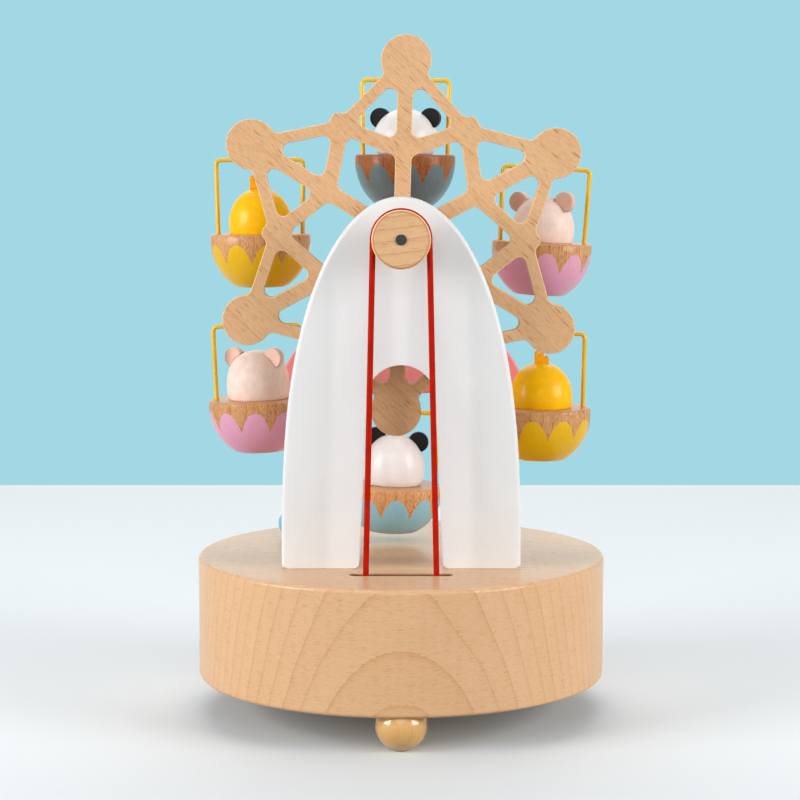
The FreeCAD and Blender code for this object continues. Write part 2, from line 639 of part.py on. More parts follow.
def bail():
    """The bent yellow wire: a top bar, two round corners and two legs that lean in a little."""
    foot, corner = bail_leg()
    down = (foot - corner).normalize()
    reach = BAIL_CORNER * math.tan(math.acos(down.x) / 2)
    bar_end = corner - X_AXIS * reach
    leg_top = corner + down * reach
    middle = bar_end - Z_AXIS * BAIL_CORNER
    knee = middle + (corner - middle).normalize() * BAIL_CORNER
    path = Part.Wire([
        Part.makeLine(mirrored(foot), mirrored(leg_top)),
        Part.Arc(mirrored(leg_top), mirrored(knee), mirrored(bar_end)).toShape(),
        Part.makeLine(mirrored(bar_end), bar_end),
        Part.Arc(bar_end, knee, leg_top).toShape(),
        Part.makeLine(leg_top, foot)])
    section = Part.Wire(Part.makeCircle(WIRE_RADIUS, mirrored(foot), mirrored(down)))
    return path.makePipeShell([section], True, False)


def seat(index):
    """The turned half-ball seat with a flat top, a socket for the rider and two wire holes."""
    height = GONDOLAS[index][3]
    belly = SEAT_BELLY_DEPTH * height / SEAT_HEIGHT
    rim = SEAT_RADIUS
    edge = SEAT_RIM_ROUND
    corner = edge * (1 - math.sqrt(0.5))
    profile = [line((0, 0), (rim - edge, 0)),
               arc((rim - edge, 0), (rim - corner, -corner), (rim, -edge)),
               arc((rim, -edge), (SEAT_BELLY_RADIUS, -belly), (SEAT_FLAT_RADIUS, -height)),
               line((SEAT_FLAT_RADIUS, -height), (0, -height)),
               line((0, -height), (0, 0))]
    bowl = spun(profile)
    soles = [edge for edge in bowl.Edges if edge.BoundBox.ZMax < 0.01 - height]
    bowl = bowl.makeFillet(SEAT_FOOT_ROUND, soles)
    bowl = bowl.cut(rod_z(TENON_RADIUS, 0, 0, -TENON_LENGTH, 1))
    bowl.translate(V(0, 0, -BAR_DROP - SEAT_DROP))
    foot, corner = bail_leg()
    for low, high in ((foot, corner), (mirrored(foot), mirrored(corner))):
        bowl = bowl.cut(rod(WIRE_RADIUS, low, high, high - low))
    return bowl


def rider_body(index):
    """The turned egg-shaped body of a rider, standing on height zero."""
    rider, height, fullness = GONDOLAS[index][:3]
    foot_radius, widest = RIDER_SHAPES[rider]
    profile = [line((0, 0), (foot_radius, 0)),
               quarter_oval(foot_radius, HEAD_RADIUS, widest, -widest, 2),
               quarter_oval(0, HEAD_RADIUS, widest, height - widest, fullness),
               line((0, height), (0, 0))]
    return spun(profile)


def seated(shape, index):
    """Turn a rider's piece to its facing and set it on the flat top of the seat."""
    result = shape.copy()
    result.rotate(V(0, 0, 0), Z_AXIS, GONDOLAS[index][5])
    result.translate(V(0, 0, -BAR_DROP - SEAT_DROP))
    return result


def head(index):
    """A rider's body with the tenon that is glued into the seat."""
    return rider_body(index).fuse(rod_z(TENON_RADIUS, 0, 0, -TENON_LENGTH, 1)).removeSplitter()


def ears(index):
    """Two flat round ears, cut to fit against the rider's body."""
    rider, height = GONDOLAS[index][:2]
    out, behind, below, roll = EAR_PLACES[index]
    widest = RIDER_SHAPES[rider][1]
    near = -behind - EAR_THICKNESS / 2
    pair = []
    for x in (-out, out):
        ear = rod_y(EAR_RADIUS, x, height - below, near, near + EAR_THICKNESS)
        ear.rotate(V(0, 0, widest), Y_AXIS, roll)
        pair.append(ear.cut(rider_body(index)))
    return pair


def crest(index):
    """The chick's comb: a thin plate with three rounded teeth that step down, cut to fit its crown."""
    height = GONDOLAS[index][1]
    half = COMB_THICKNESS / 2
    sunk = height - COMB_SINK
    teeth = []
    for place, rise in enumerate(COMB_TOOTH_RISES):
        x = COMB_PLACES[index] + (place - 1) * COMB_TOOTH_PITCH
        top = height + rise - COMB_TOOTH_RADIUS
        root = block((x - COMB_TOOTH_PITCH / 2, x + COMB_TOOTH_PITCH / 2), (-half, half),
                     (sunk, top - COMB_NOTCH))
        shank = block((x - COMB_TOOTH_RADIUS, x + COMB_TOOTH_RADIUS), (-half, half), (sunk, top))
        teeth.append(root.fuse([shank, rod_y(COMB_TOOTH_RADIUS, x, top, -half, half)]))
    plate = teeth[0].multiFuse(teeth[1:])
    return plate.cut(rider_body(index)).removeSplitter()


def save_gondolas():
    """Write the six hanging gondolas, each with its hanger, bail, seat and rider."""
    for index, gondola in enumerate(GONDOLAS):
        rider = gondola[0]
        number = str(index + 1)
        save("hanger_" + number, placed(hanger(), index))
        save("bail_" + number, placed(bail(), index))
        save("seat_" + number, placed(seat(index), index))
        save(rider + "_head_" + number, placed(seated(head(index), index), index))
        if rider == "chick":
            save("chick_comb_" + number, placed(seated(crest(index), index), index))
        else:
            pair = [placed(seated(ear, index), index) for ear in ears(index)]
            save_group(rider + "_ears_" + number, pair)


# ---- station gate -----------------------------------------------------------
def gate_roof():
    """The pink round-topped board over the station gate."""
    sill = BASE_TOP + GATE_SILL
    centre = BASE_TOP + GATE_ARCH_CENTRE
    half = math.sqrt(GATE_ARCH_RADIUS ** 2 - (sill - centre) ** 2)
    outline = Part.Wire([
        Part.makeLine(V(half, GATE_Y, sill), V(-half, GATE_Y, sill)),
        Part.Arc(V(-half, GATE_Y, sill), V(0, GATE_Y, centre + GATE_ARCH_RADIUS),
                 V(half, GATE_Y, sill)).toShape()])
    board = Part.Face(outline).extrude(V(0, GATE_THICKNESS, 0))
    flats = [edge for edge in board.Edges if edge.Length > 2 * half - 0.01]
    board = board.makeFillet(GATE_EDGE_ROUND, flats)
    for x in (-POST_X, POST_X):
        board = board.cut(rod_z(POST_TENON_RADIUS, x, GATE_Y + GATE_THICKNESS / 2,
                                sill - 1, sill + POST_TENON_LENGTH))
    return board


def gate_post(x):
    """A round post with a tenon at each end."""
    y = GATE_Y + GATE_THICKNESS / 2
    sill = BASE_TOP + GATE_SILL
    post = rod_z(POST_RADIUS, x, y, BASE_TOP, sill)
    tenon = rod_z(POST_TENON_RADIUS, x, y, BASE_TOP - POST_TENON_LENGTH, sill + POST_TENON_LENGTH)
    return post.fuse(tenon)


def blue_ball():
    """A small blue ball standing on the base by its flat, with a short dowel."""
    centre = BASE_TOP + math.sqrt(BALL_RADIUS ** 2 - BALL_FLAT_RADIUS ** 2)
    ball = Part.makeSphere(BALL_RADIUS, V(BALL_X, BALL_Y, centre))
    ball = ball.common(rod_z(BALL_RADIUS + 1, BALL_X, BALL_Y, BASE_TOP, BASE_TOP + 3 * BALL_RADIUS))
    dowel = rod_z(BALL_FLAT_RADIUS, BALL_X, BALL_Y, BASE_TOP - POST_TENON_LENGTH, BASE_TOP)
    return ball.fuse(dowel)


# ---- musical movement -------------------------------------------------------
def upright(y):
    """A bearing post of the bedplate for the cylinder arbor."""
    post = block((-UPRIGHT_HALF_WIDTH, UPRIGHT_HALF_WIDTH), (y, y + UPRIGHT_THICKNESS), (BED_TOP, ARBOR_Z))
    return post.fuse(rod_y(UPRIGHT_HALF_WIDTH, 0, ARBOR_Z, y, y + UPRIGHT_THICKNESS))


def movement_bedplate():
    """The cast bed of the movement with its two bearing posts and the rail for the comb."""
    bed = block((BED_LEFT, BED_RIGHT), (BED_FRONT, BED_BACK), (PLATE_TOP, BED_TOP))
    rail = block((RAIL_LEFT, COMB_RIGHT), (CYLINDER_START, CYLINDER_END),
                 (BED_TOP, ARBOR_Z - REED_THICKNESS / 2))
    bed = bed.fuse([rail, upright(FRONT_UPRIGHT_Y), upright(REAR_UPRIGHT_Y)]).removeSplitter()
    bed = bed.cut(rod_y(ARBOR_RADIUS + RUNNING_CLEARANCE, 0, ARBOR_Z, BED_FRONT, BARREL_Y))
    bed = bed.cut(rod_z(ARBOR_RADIUS + RUNNING_CLEARANCE, 0, BARREL_Y, PLATE_TOP - 1, BED_TOP + 1))
    for x, y in bed_screw_places():
        bed = bed.cut(rod_z(MACHINE_RADIUS, x, y, PLATE_TOP - 1, BED_TOP + 1))
    seat_z = ARBOR_Z + REED_THICKNESS / 2
    for x, y in comb_screw_places():
        bed = bed.cut(rod_z(MACHINE_RADIUS, x, y, seat_z - MACHINE_LENGTH, seat_z))
    return bed


def musical_comb():
    """The steel comb whose eighteen reeds are plucked by the cylinder pins."""
    left = CYLINDER_RADIUS + CYLINDER_PIN_RISE + COMB_GAP
    comb = block((left, COMB_RIGHT), (CYLINDER_START, CYLINDER_END),
                 (ARBOR_Z - REED_THICKNESS / 2, ARBOR_Z + REED_THICKNESS / 2))
    middle = (CYLINDER_START + CYLINDER_END) / 2
    for note in range(NOTE_COUNT - 1):
        y = middle + (note - (NOTE_COUNT - 2) / 2) * NOTE_PITCH
        comb = comb.cut(block((left - 1, left + REED_LENGTH), (y - NOTE_SLOT / 2, y + NOTE_SLOT / 2),
                              (ARBOR_Z - REED_THICKNESS, ARBOR_Z + REED_THICKNESS)))
    for x, y in comb_screw_places():
        comb = comb.cut(rod_z(MACHINE_RADIUS, x, y, ARBOR_Z - REED_THICKNESS, ARBOR_Z + REED_THICKNESS))
    return comb


def music_cylinder():
    """The brass cylinder with its tune pins set round it."""
    cylinder = rod_y(CYLINDER_RADIUS, 0, ARBOR_Z, CYLINDER_START, CYLINDER_END)
    middle = (CYLINDER_START + CYLINDER_END) / 2
    pins = []
    for note in range(NOTE_COUNT):
        y = middle + (note - (NOTE_COUNT - 1) / 2) * NOTE_PITCH
        for turn in (0, 1):
            angle = math.radians(note * 100 + turn * 160)
            out = V(math.cos(angle), 0, math.sin(angle))
            foot = V(0, y, ARBOR_Z) + out * (CYLINDER_RADIUS - CYLINDER_PIN_RISE)
            pins.append(Part.makeCylinder(CYLINDER_PIN_RADIUS, 2 * CYLINDER_PIN_RISE, foot, out))
    cylinder = cylinder.multiFuse(pins)
    return cylinder.cut(rod_y(ARBOR_RADIUS, 0, ARBOR_Z, CYLINDER_START - 1, CYLINDER_END + 1))


def drive_arbor():
    """The steel arbor that carries the drive pulley, the cylinder and the pinion."""
    return rod_y(ARBOR_RADIUS, 0, ARBOR_Z, PULLEY_FRONT, PINION_Y + GEAR_FACE / 2)


def drive_pulley():
    """The larger wooden pulley inside the base."""
    return pulley(DRIVE_BELT_RADIUS, ARBOR_Z, ARBOR_RADIUS, FRONT_UPRIGHT_Y - END_PLAY)


def cylinder_pinion():
    """The ten-tooth pinion on the end of the arbor."""
    root_radius = PINION_PITCH_RADIUS - TOOTH_DEDENDUM
    tip_radius = PINION_PITCH_RADIUS + TOOTH_ADDENDUM
    near = PINION_Y - GEAR_FACE / 2
    pinion = rod_y(root_radius, 0, ARBOR_Z, near, near + GEAR_FACE)
    sunk = root_radius - TOOTH_TIP_WIDTH
    tooth = Part.Face(Part.makePolygon([
        V(-TOOTH_ROOT_WIDTH / 2, near, sunk), V(TOOTH_ROOT_WIDTH / 2, near, sunk),
        V(TOOTH_TIP_WIDTH / 2, near, tip_radius), V(-TOOTH_TIP_WIDTH / 2, near, tip_radius),
        V(-TOOTH_ROOT_WIDTH / 2, near, sunk)])).extrude(V(0, GEAR_FACE, 0))
    teeth = []
    for index in range(PINION_TEETH):
        copy = tooth.copy()
        copy.rotate(V(0, 0, 0), Y_AXIS, 180 + index * 360 / PINION_TEETH)
        copy.translate(V(0, 0, ARBOR_Z))
        teeth.append(copy)
    pinion = pinion.multiFuse(teeth)
    return pinion.cut(rod_y(ARBOR_RADIUS, 0, ARBOR_Z, near - 1, near + GEAR_FACE + 1))


def crown_gear():
    """The brass crown gear on the barrel, its teeth standing up into the pinion."""
    plate_radius = CROWN_PITCH_RADIUS + GEAR_FACE / 2
    gear = rod_z(plate_radius, 0, BARREL_Y, CROWN_FLOOR, TOOTH_ROOT_Z)
    top = TOOTH_ROOT_Z + TOOTH_DEDENDUM + TOOTH_ADDENDUM
    ring = rod_z(plate_radius, 0, BARREL_Y, TOOTH_ROOT_Z - 1, top)
    ring = ring.cut(rod_z(plate_radius - GEAR_FACE, 0, BARREL_Y, TOOTH_ROOT_Z - 2, top + 1))
    inner = plate_radius - GEAR_FACE - 1
    tooth = Part.Face(Part.makePolygon([
        V(-TOOTH_ROOT_WIDTH / 2, -inner, TOOTH_ROOT_Z), V(TOOTH_ROOT_WIDTH / 2, -inner, TOOTH_ROOT_Z),
        V(TOOTH_TIP_WIDTH / 2, -inner, top), V(-TOOTH_TIP_WIDTH / 2, -inner, top),
        V(-TOOTH_ROOT_WIDTH / 2, -inner, TOOTH_ROOT_Z)])).extrude(V(0, -GEAR_FACE - 2, 0))
    teeth = []
    for index in range(CROWN_TEETH):
        copy = tooth.copy()
        copy.rotate(V(0, 0, 0), Z_AXIS, (index + 0.5) * 360 / CROWN_TEETH)
        copy.translate(V(0, BARREL_Y, 0))
        teeth.append(copy.common(ring))
    gear = gear.multiFuse(teeth)
    return gear.cut(rod_z(ARBOR_RADIUS + RUNNING_CLEARANCE, 0, BARREL_Y, CROWN_FLOOR - 1, top))


def spring_barrel():
    """The drum under the crown gear that holds the mainspring."""
    drum = rod_z(BARREL_RADIUS, 0, BARREL_Y, BARREL_FLOOR, CROWN_FLOOR)
    room = rod_z(BARREL_RADIUS - BARREL_WALL, 0, BARREL_Y, BARREL_FLOOR + BARREL_WALL, CROWN_FLOOR + 1)
    room = room.cut(rod_z(BARREL_HUB_RADIUS, 0, BARREL_Y, BARREL_FLOOR, CROWN_FLOOR + 1))
    bore = rod_z(ARBOR_RADIUS + RUNNING_CLEARANCE, 0, BARREL_Y, BARREL_FLOOR - 1, CROWN_FLOOR + 1)
    return drum.cut(room).cut(bore)


def mainspring():
    """The flat spring wound in the barrel, as half turns of growing radius."""
    low = BARREL_FLOOR + BARREL_WALL
    high = CROWN_FLOOR - SPRING_SIDE_GAP
    halves = []
    for index in range(SPRING_HALF_TURNS):
        turned = index % 2 == 1
        inner = BARREL_HUB_RADIUS + SPRING_PITCH / 2 + index * SPRING_PITCH / 2
        x = -SPRING_PITCH / 4 if turned else SPRING_PITCH / 4
        ring = Part.makeCylinder(inner + SPRING_STRIP, high - low, V(x, BARREL_Y, low), Z_AXIS, 180)
        ring = ring.cut(Part.makeCylinder(inner, high - low, V(x, BARREL_Y, low), Z_AXIS))
        if turned:
            ring.rotate(V(x, BARREL_Y, low), Z_AXIS, 180)
        halves.append(ring)
    return halves[0].multiFuse(halves[1:])


def key_arbor():
    """The winding arbor through the plates and the barrel, with a collar that keeps it in."""
    top = TOOTH_ROOT_Z + END_PLAY + MACHINE_HEAD_HEIGHT
    shaft = rod_z(ARBOR_RADIUS, 0, BARREL_Y, KEY_CLEARANCE * 2, top)
    return shaft.fuse(rod_z(COLLAR_RADIUS, 0, BARREL_Y, TOOTH_ROOT_Z + END_PLAY, top))


def winding_key():
    """The butterfly key under the base."""
    top = FOOT_LIFT - KEY_TOP_GAP
    radius = (top - KEY_CLEARANCE) / 2
    middle = KEY_CLEARANCE + radius
    half = KEY_WING_THICKNESS / 2
    key = rod_z(KEY_BOSS_RADIUS, 0, BARREL_Y, KEY_CLEARANCE, top)
    key = key.fuse(block((-KEY_WING_X, KEY_WING_X), (BARREL_Y - half, BARREL_Y + half),
                         (middle - radius / 2, middle + radius / 2)))
    for x in (-KEY_WING_X, KEY_WING_X):
        key = key.fuse(rod_y(radius, x, middle, BARREL_Y - half, BARREL_Y + half))
    for x in (-KEY_WING_X, KEY_WING_X):
        key = key.cut(rod_y(KEY_WING_HOLE, x, middle, BARREL_Y - half - 1, BARREL_Y + half + 1))
    return key.cut(rod_z(ARBOR_RADIUS, 0, BARREL_Y, KEY_CLEARANCE * 2, top + 1))


def governor_frame():
    """The bridge over the pinion that carries the governor worm and fan."""
    inner = GOVERNOR_CHEEK_X
    outer = inner + GOVERNOR_CHEEK
    worm_z = ARBOR_Z + GOVERNOR_LIFT
    roof = worm_z + 2 * WORM_RADIUS
    y_range = (PINION_Y - GOVERNOR_DEPTH / 2, PINION_Y + GOVERNOR_DEPTH / 2)
    frame = block((-outer, outer), y_range, (roof, roof + GOVERNOR_CHEEK))
    for x_range in ((-outer, -inner), (inner, outer)):
        frame = frame.fuse(block(x_range, y_range, (BED_TOP, roof)))
    bore = rod(GOVERNOR_SHAFT_RADIUS + RUNNING_CLEARANCE, V(-outer - 1, PINION_Y, worm_z),
               V(outer + 1, PINION_Y, worm_z), X_AXIS)
    return frame.removeSplitter().cut(bore)


def governor_fan():
    """The governor shaft with its worm core over the pinion and its two-bladed air brake."""
    outer = GOVERNOR_CHEEK_X + GOVERNOR_CHEEK
    worm_z = ARBOR_Z + GOVERNOR_LIFT
    fan_start = -outer - END_PLAY
    shaft = rod(GOVERNOR_SHAFT_RADIUS, V(fan_start - FAN_LENGTH, PINION_Y, worm_z),
                V(outer + END_PLAY, PINION_Y, worm_z), X_AXIS)
    reach = GOVERNOR_CHEEK_X - END_PLAY
    worm = rod(WORM_RADIUS, V(-reach, PINION_Y, worm_z), V(reach, PINION_Y, worm_z), X_AXIS)
    blades = block((fan_start - FAN_LENGTH, fan_start), (PINION_Y - FAN_RADIUS, PINION_Y + FAN_RADIUS),
                   (worm_z - FAN_BLADE / 2, worm_z + FAN_BLADE / 2))
    return shaft.fuse([worm, blades])


# ---- the whole toy ----------------------------------------------------------
def save_fasteners():
    """Write the two groups of like screws."""
    wood = [wood_screw(x, y, FOOT_LIFT) for x, y in plate_screw_places()]
    wood += [wood_screw(x, y, CEILING) for x, y in support_screw_places()]
    save_group("wood_screws", wood)
    machine = [machine_screw(x, y, BED_TOP) for x, y in bed_screw_places()]
    machine += [machine_screw(x, y, ARBOR_Z + REED_THICKNESS / 2) for x, y in comb_screw_places()]
    save_group("movement_screws", machine)


def save_all():
    """Write every sub-part of the toy."""
    os.makedirs("parts", exist_ok=True)
    save("base", base())
    save_group("ball_feet", [ball_foot(x, y) for x, y in foot_places()])
    save("bottom_plate", bottom_plate())
    save_fasteners()
    save("support_arch", support_arch())
    save("axle_bush", axle_bush())
    save("wheel_frame", wheel_frame())
    save("hub_cap", hub_cap())
    save("wheel_axle", wheel_axle())
    save("top_pulley", top_pulley())
    pivots = [polar(DISC_CIRCLE, angle) for angle in disc_angles()]
    save_group("gondola_pins", [gondola_pin(pivot) for pivot in pivots])
    save("drive_belt", drive_belt())
    save_gondolas()
    save("gate_roof", gate_roof())
    save_group("gate_posts", [gate_post(-POST_X), gate_post(POST_X)])
    save("blue_ball", blue_ball())
    save("movement_bedplate", movement_bedplate())
    save("musical_comb", musical_comb())
    save("music_cylinder", music_cylinder())
    save("drive_arbor", drive_arbor())
    save("drive_pulley", drive_pulley())
    save("cylinder_pinion", cylinder_pinion())
    save("crown_gear", crown_gear())
    save("spring_barrel", spring_barrel())
    save("mainspring", mainspring())
    save("key_arbor", key_arbor())
    save("winding_key", winding_key())
    save("governor_frame", governor_frame())
    save("governor_fan", governor_fan())


save_all()
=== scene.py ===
"""Wind-up musical ferris wheel of beech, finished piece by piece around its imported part.

+Z up, the floor at zero; the belt side faces -Y and the riders look towards +Y. The room is in
metres, and each piece's own sizes and patterns are in millimetres.
"""
import json
import math
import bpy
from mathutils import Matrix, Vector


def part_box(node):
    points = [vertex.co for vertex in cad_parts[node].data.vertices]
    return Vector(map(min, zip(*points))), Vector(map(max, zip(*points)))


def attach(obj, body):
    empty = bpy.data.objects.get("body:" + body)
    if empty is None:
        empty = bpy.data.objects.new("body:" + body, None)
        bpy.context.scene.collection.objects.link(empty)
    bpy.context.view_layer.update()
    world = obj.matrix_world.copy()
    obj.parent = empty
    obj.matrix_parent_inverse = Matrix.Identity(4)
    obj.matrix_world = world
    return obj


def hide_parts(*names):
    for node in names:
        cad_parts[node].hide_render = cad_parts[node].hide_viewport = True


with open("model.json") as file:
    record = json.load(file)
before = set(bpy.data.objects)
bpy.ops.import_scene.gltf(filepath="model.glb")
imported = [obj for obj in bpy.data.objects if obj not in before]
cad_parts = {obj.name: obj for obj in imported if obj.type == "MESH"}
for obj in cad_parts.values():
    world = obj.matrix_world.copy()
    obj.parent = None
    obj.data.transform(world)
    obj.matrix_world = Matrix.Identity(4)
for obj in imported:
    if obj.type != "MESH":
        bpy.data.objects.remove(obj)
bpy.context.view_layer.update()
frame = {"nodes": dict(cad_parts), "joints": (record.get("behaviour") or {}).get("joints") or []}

from types import SimpleNamespace

import bmesh
import bpy
from mathutils import Matrix, Vector

MM = 0.001
nodes = frame["nodes"]
scene = bpy.context.scene
scene.view_settings.view_transform = "Standard"


# ---- the room ---------------------------------------------------------------
# A photographer's table: pale paper on a board with its corners cut off, a light blue wall behind
# it and a pale room all round. Two large soft lamps stand at the sides, with weak ones in front,
# above and behind.
WALL = "#A2D8E4"
ROOM = "#E4ECEF"
DAYLIGHT = "#FCF4EE"
DAYLIGHT_STRENGTH = 0.2
WALL_Y = 1.6
WALL_REACH = 6.0
BOARD_HALF = 0.466
BOARD_CUT = 0.25
# each lamp: name, where it stands, the side of its square, watts
LAMPS = (
    ("left_softbox", (-0.88, -0.42, 0.36), 0.55, 9.3),
    ("right_softbox", (0.88, -0.42, 0.36), 0.55, 8.3),
    ("front_softbox", (-0.05, -0.98, 0.70), 0.70, 2.0),
    ("top_softbox", (0.0, 0.60, 1.00), 0.90, 5.6),
    ("back_softbox", (0.0, 1.05, 0.38), 0.80, 1.2),
)
LAMP_AIM = Vector((0, 0, 0.09))
PICTURE_PIXELS = 800
FOCAL_PIXELS = 2288.5
AXIS_PIXEL_X = 401.16
AXIS_PIXEL_Y = 389.54
FILM_WIDTH = 36
CAMERA_PLACE = (0, -0.7, 0.17257)
CAMERA_DIP = 6.027


def linear(hex_colour, share=1.0):
    """A hex sRGB colour as the linear values that a shader takes, with a share of its light."""
    parts = [int(hex_colour[i:i + 2], 16) / 255 for i in (1, 3, 5)]
    parts = [part / 12.92 if part <= 0.04045 else ((part + 0.055) / 1.055) ** 2.4 for part in parts]
    return [part * share for part in parts] + [1.0]


def feed(node, feeds):
    """Gives each named or numbered input a value, or what another node or one of its sockets gives."""
    for socket, value in feeds.items():
        if isinstance(value, bpy.types.Node):
            value = next(output for output in value.outputs if output.enabled)
        if isinstance(value, bpy.types.NodeSocket):
            node.id_data.links.new(value, node.inputs[socket])
        else:
            node.inputs[socket].default_value = value
    return node


def step(tree, kind, feeds, **settings):
    """Adds one node with its settings and its feeds. A mix of colours has its share at 0 and its
    two colours at 6 and 7."""
    node = tree.nodes.new("ShaderNode" + kind)
    for name, value in settings.items():
        setattr(node, name, value)
    return feed(node, feeds)


def new_finish(name):
    """An empty finish: its material, its tree of nodes and its surface shader."""
    material = bpy.data.materials.new(name)
    material.use_nodes = True
    tree = material.node_tree
    return SimpleNamespace(material=material, tree=tree, surface=tree.nodes["Principled BSDF"])


def rest_point(tree):
    """Where a point of the piece is while the toy is at rest, in millimetres."""
    metres = step(tree, "TexCoord", {}).outputs["Object"]
    return step(tree, "VectorMath", {0: metres, 1: [1 / MM] * 3}, operation="MULTIPLY")


def blots(tree, point, sizes, detail, roughness=0.5):
    """Soft random blots, so many millimetres long along each direction of the point."""
    point = step(tree, "VectorMath", {0: point, 1: [1 / size for size in sizes]}, operation="MULTIPLY")
    return step(tree, "TexNoise", {"Vector": point, "Scale": 1.0, "Detail": detail, "Roughness": roughness})


def seen_directly(tree):
    """1 where the eye, a mirror or a glass looks, and 0 where only soft light is gathered."""
    ray = step(tree, "LightPath", {}).outputs
    seen = step(tree, "Math", {0: ray["Is Camera Ray"], 1: ray["Is Glossy Ray"]}, operation="ADD")
    return step(tree, "Math", {0: seen, 1: ray["Is Transmission Ray"]}, operation="ADD", use_clamp=True)


def glow(tree, kind, colour):
    """A backdrop's shader: its own colour to the eye, and plain daylight to all else."""
    daylight = step(tree, kind, {"Color": linear(DAYLIGHT), "Strength": DAYLIGHT_STRENGTH})
    shown = step(tree, kind, {"Color": linear(colour), "Strength": 1.0})
    return step(tree, "MixShader", {0: seen_directly(tree), 1: daylight, 2: shown})


def flat_sheet(name, corners, finish):
    """A flat stage piece from its corners."""
    mesh = bpy.data.meshes.new(name)
    mesh.from_pydata(corners, [], [tuple(range(len(corners)))])
    mesh.materials.append(finish.material)
    sheet = bpy.data.objects.new(name, mesh)
    scene.collection.objects.link(sheet)


room = bpy.data.worlds.new("room")
room.use_nodes = True
scene.world = room
room.node_tree.nodes.clear()
step(room.node_tree, "OutputWorld", {"Surface": glow(room.node_tree, "Background", ROOM)})
# Emulsion paint, lit so evenly that it shows one flat blue.
wall_paint = new_finish("evenly_lit_blue_wall")
wall_paint.tree.nodes.clear()
step(wall_paint.tree, "OutputMaterial", {"Surface": glow(wall_paint.tree, "Emission", WALL)})
flat_sheet("wall", [(x * WALL_REACH, WALL_Y, z * WALL_REACH)
                    for x, z in ((-1, -1), (1, -1), (1, 1), (-1, 1))], wall_paint)

for name, place, side, watts in LAMPS:
    lamp = bpy.data.lights.new(name, "AREA")
    lamp.size = side
    lamp.energy = watts
    stand = bpy.data.objects.new(name, lamp)
    scene.collection.objects.link(stand)
    stand.location = place
    stand.rotation_euler = (LAMP_AIM - Vector(place)).to_track_quat("-Z", "Y").to_euler()
    stand.visible_camera = False

camera = bpy.data.cameras.new("camera")
camera.sensor_width = FILM_WIDTH
camera.lens = FOCAL_PIXELS / PICTURE_PIXELS * FILM_WIDTH
camera.shift_x = 0.5 - AXIS_PIXEL_X / PICTURE_PIXELS
camera.shift_y = AXIS_PIXEL_Y / PICTURE_PIXELS - 0.5
tripod = bpy.data.objects.new("camera", camera)
scene.collection.objects.link(tripod)
tripod.location = CAMERA_PLACE
tripod.rotation_euler = (math.radians(90 - CAMERA_DIP), 0, 0)
scene.camera = tripod

# Matt paper: no gloss at all, with the faint cloudiness of its pulp, some 40 mm across, and painted shade
# that darkens it towards the front, where the lamps' light falls off. What it throws back on the toy is held
# down, as dark card laid round it would do.
PAPER_NEAR = "#D6DBDF"
PAPER_FAR = "#E9F1F5"
PAPER_THROWN_BACK = "#9A9B9A"
PAPER_NEAR_Y = -220
PAPER_FAR_Y = 30
PAPER_CLOUD = 40
paper = new_finish("matt_paper_sweep")
tree = paper.tree
here = rest_point(tree)
cloud = blots(tree, here, [PAPER_CLOUD] * 3, detail=2.0)
# painted shade: the paper is darker towards the front
back = step(tree, "MapRange", {"Value": step(tree, "SeparateXYZ", {0: here}).outputs["Y"],
                               "From Min": PAPER_NEAR_Y, "From Max": PAPER_FAR_Y})
back = step(tree, "Math", {0: cloud, 1: 0.06, 2: back}, operation="MULTIPLY_ADD")
tone = step(tree, "Mix", {0: back, 6: linear(PAPER_NEAR), 7: linear(PAPER_FAR)}, data_type="RGBA")
tone = step(tree, "Mix", {0: seen_directly(tree), 6: linear(PAPER_THROWN_BACK), 7: tone}, data_type="RGBA")
feed(paper.surface, {"Base Color": tone, "Roughness": 0.9, "Specular IOR Level": 0.15})
flat_sheet("floor", [(x, y, 0) for x, y in (
    (-BOARD_CUT, -BOARD_HALF), (BOARD_CUT, -BOARD_HALF), (BOARD_HALF, -BOARD_CUT), (BOARD_HALF, BOARD_CUT),
    (BOARD_CUT, BOARD_HALF), (-BOARD_CUT, BOARD_HALF), (-BOARD_HALF, BOARD_CUT), (-BOARD_HALF, -BOARD_CUT))],
    paper)


# ---- base -------------------------------------------------------------------
# A thick round of steamed beech, turned on the lathe with its fibres lying from left to right,
# hollowed from below for the musical movement, with a slot in its top for the belt, and lacquered.
RING_BEND = (60, 30, 30)
RING_RAGGEDNESS = (1.6, 0.5, 0.5)
STREAK = (9, 0.8, 0.45)
PATCH = (26, 26, 26)
WOOD_RELIEF = 0.1


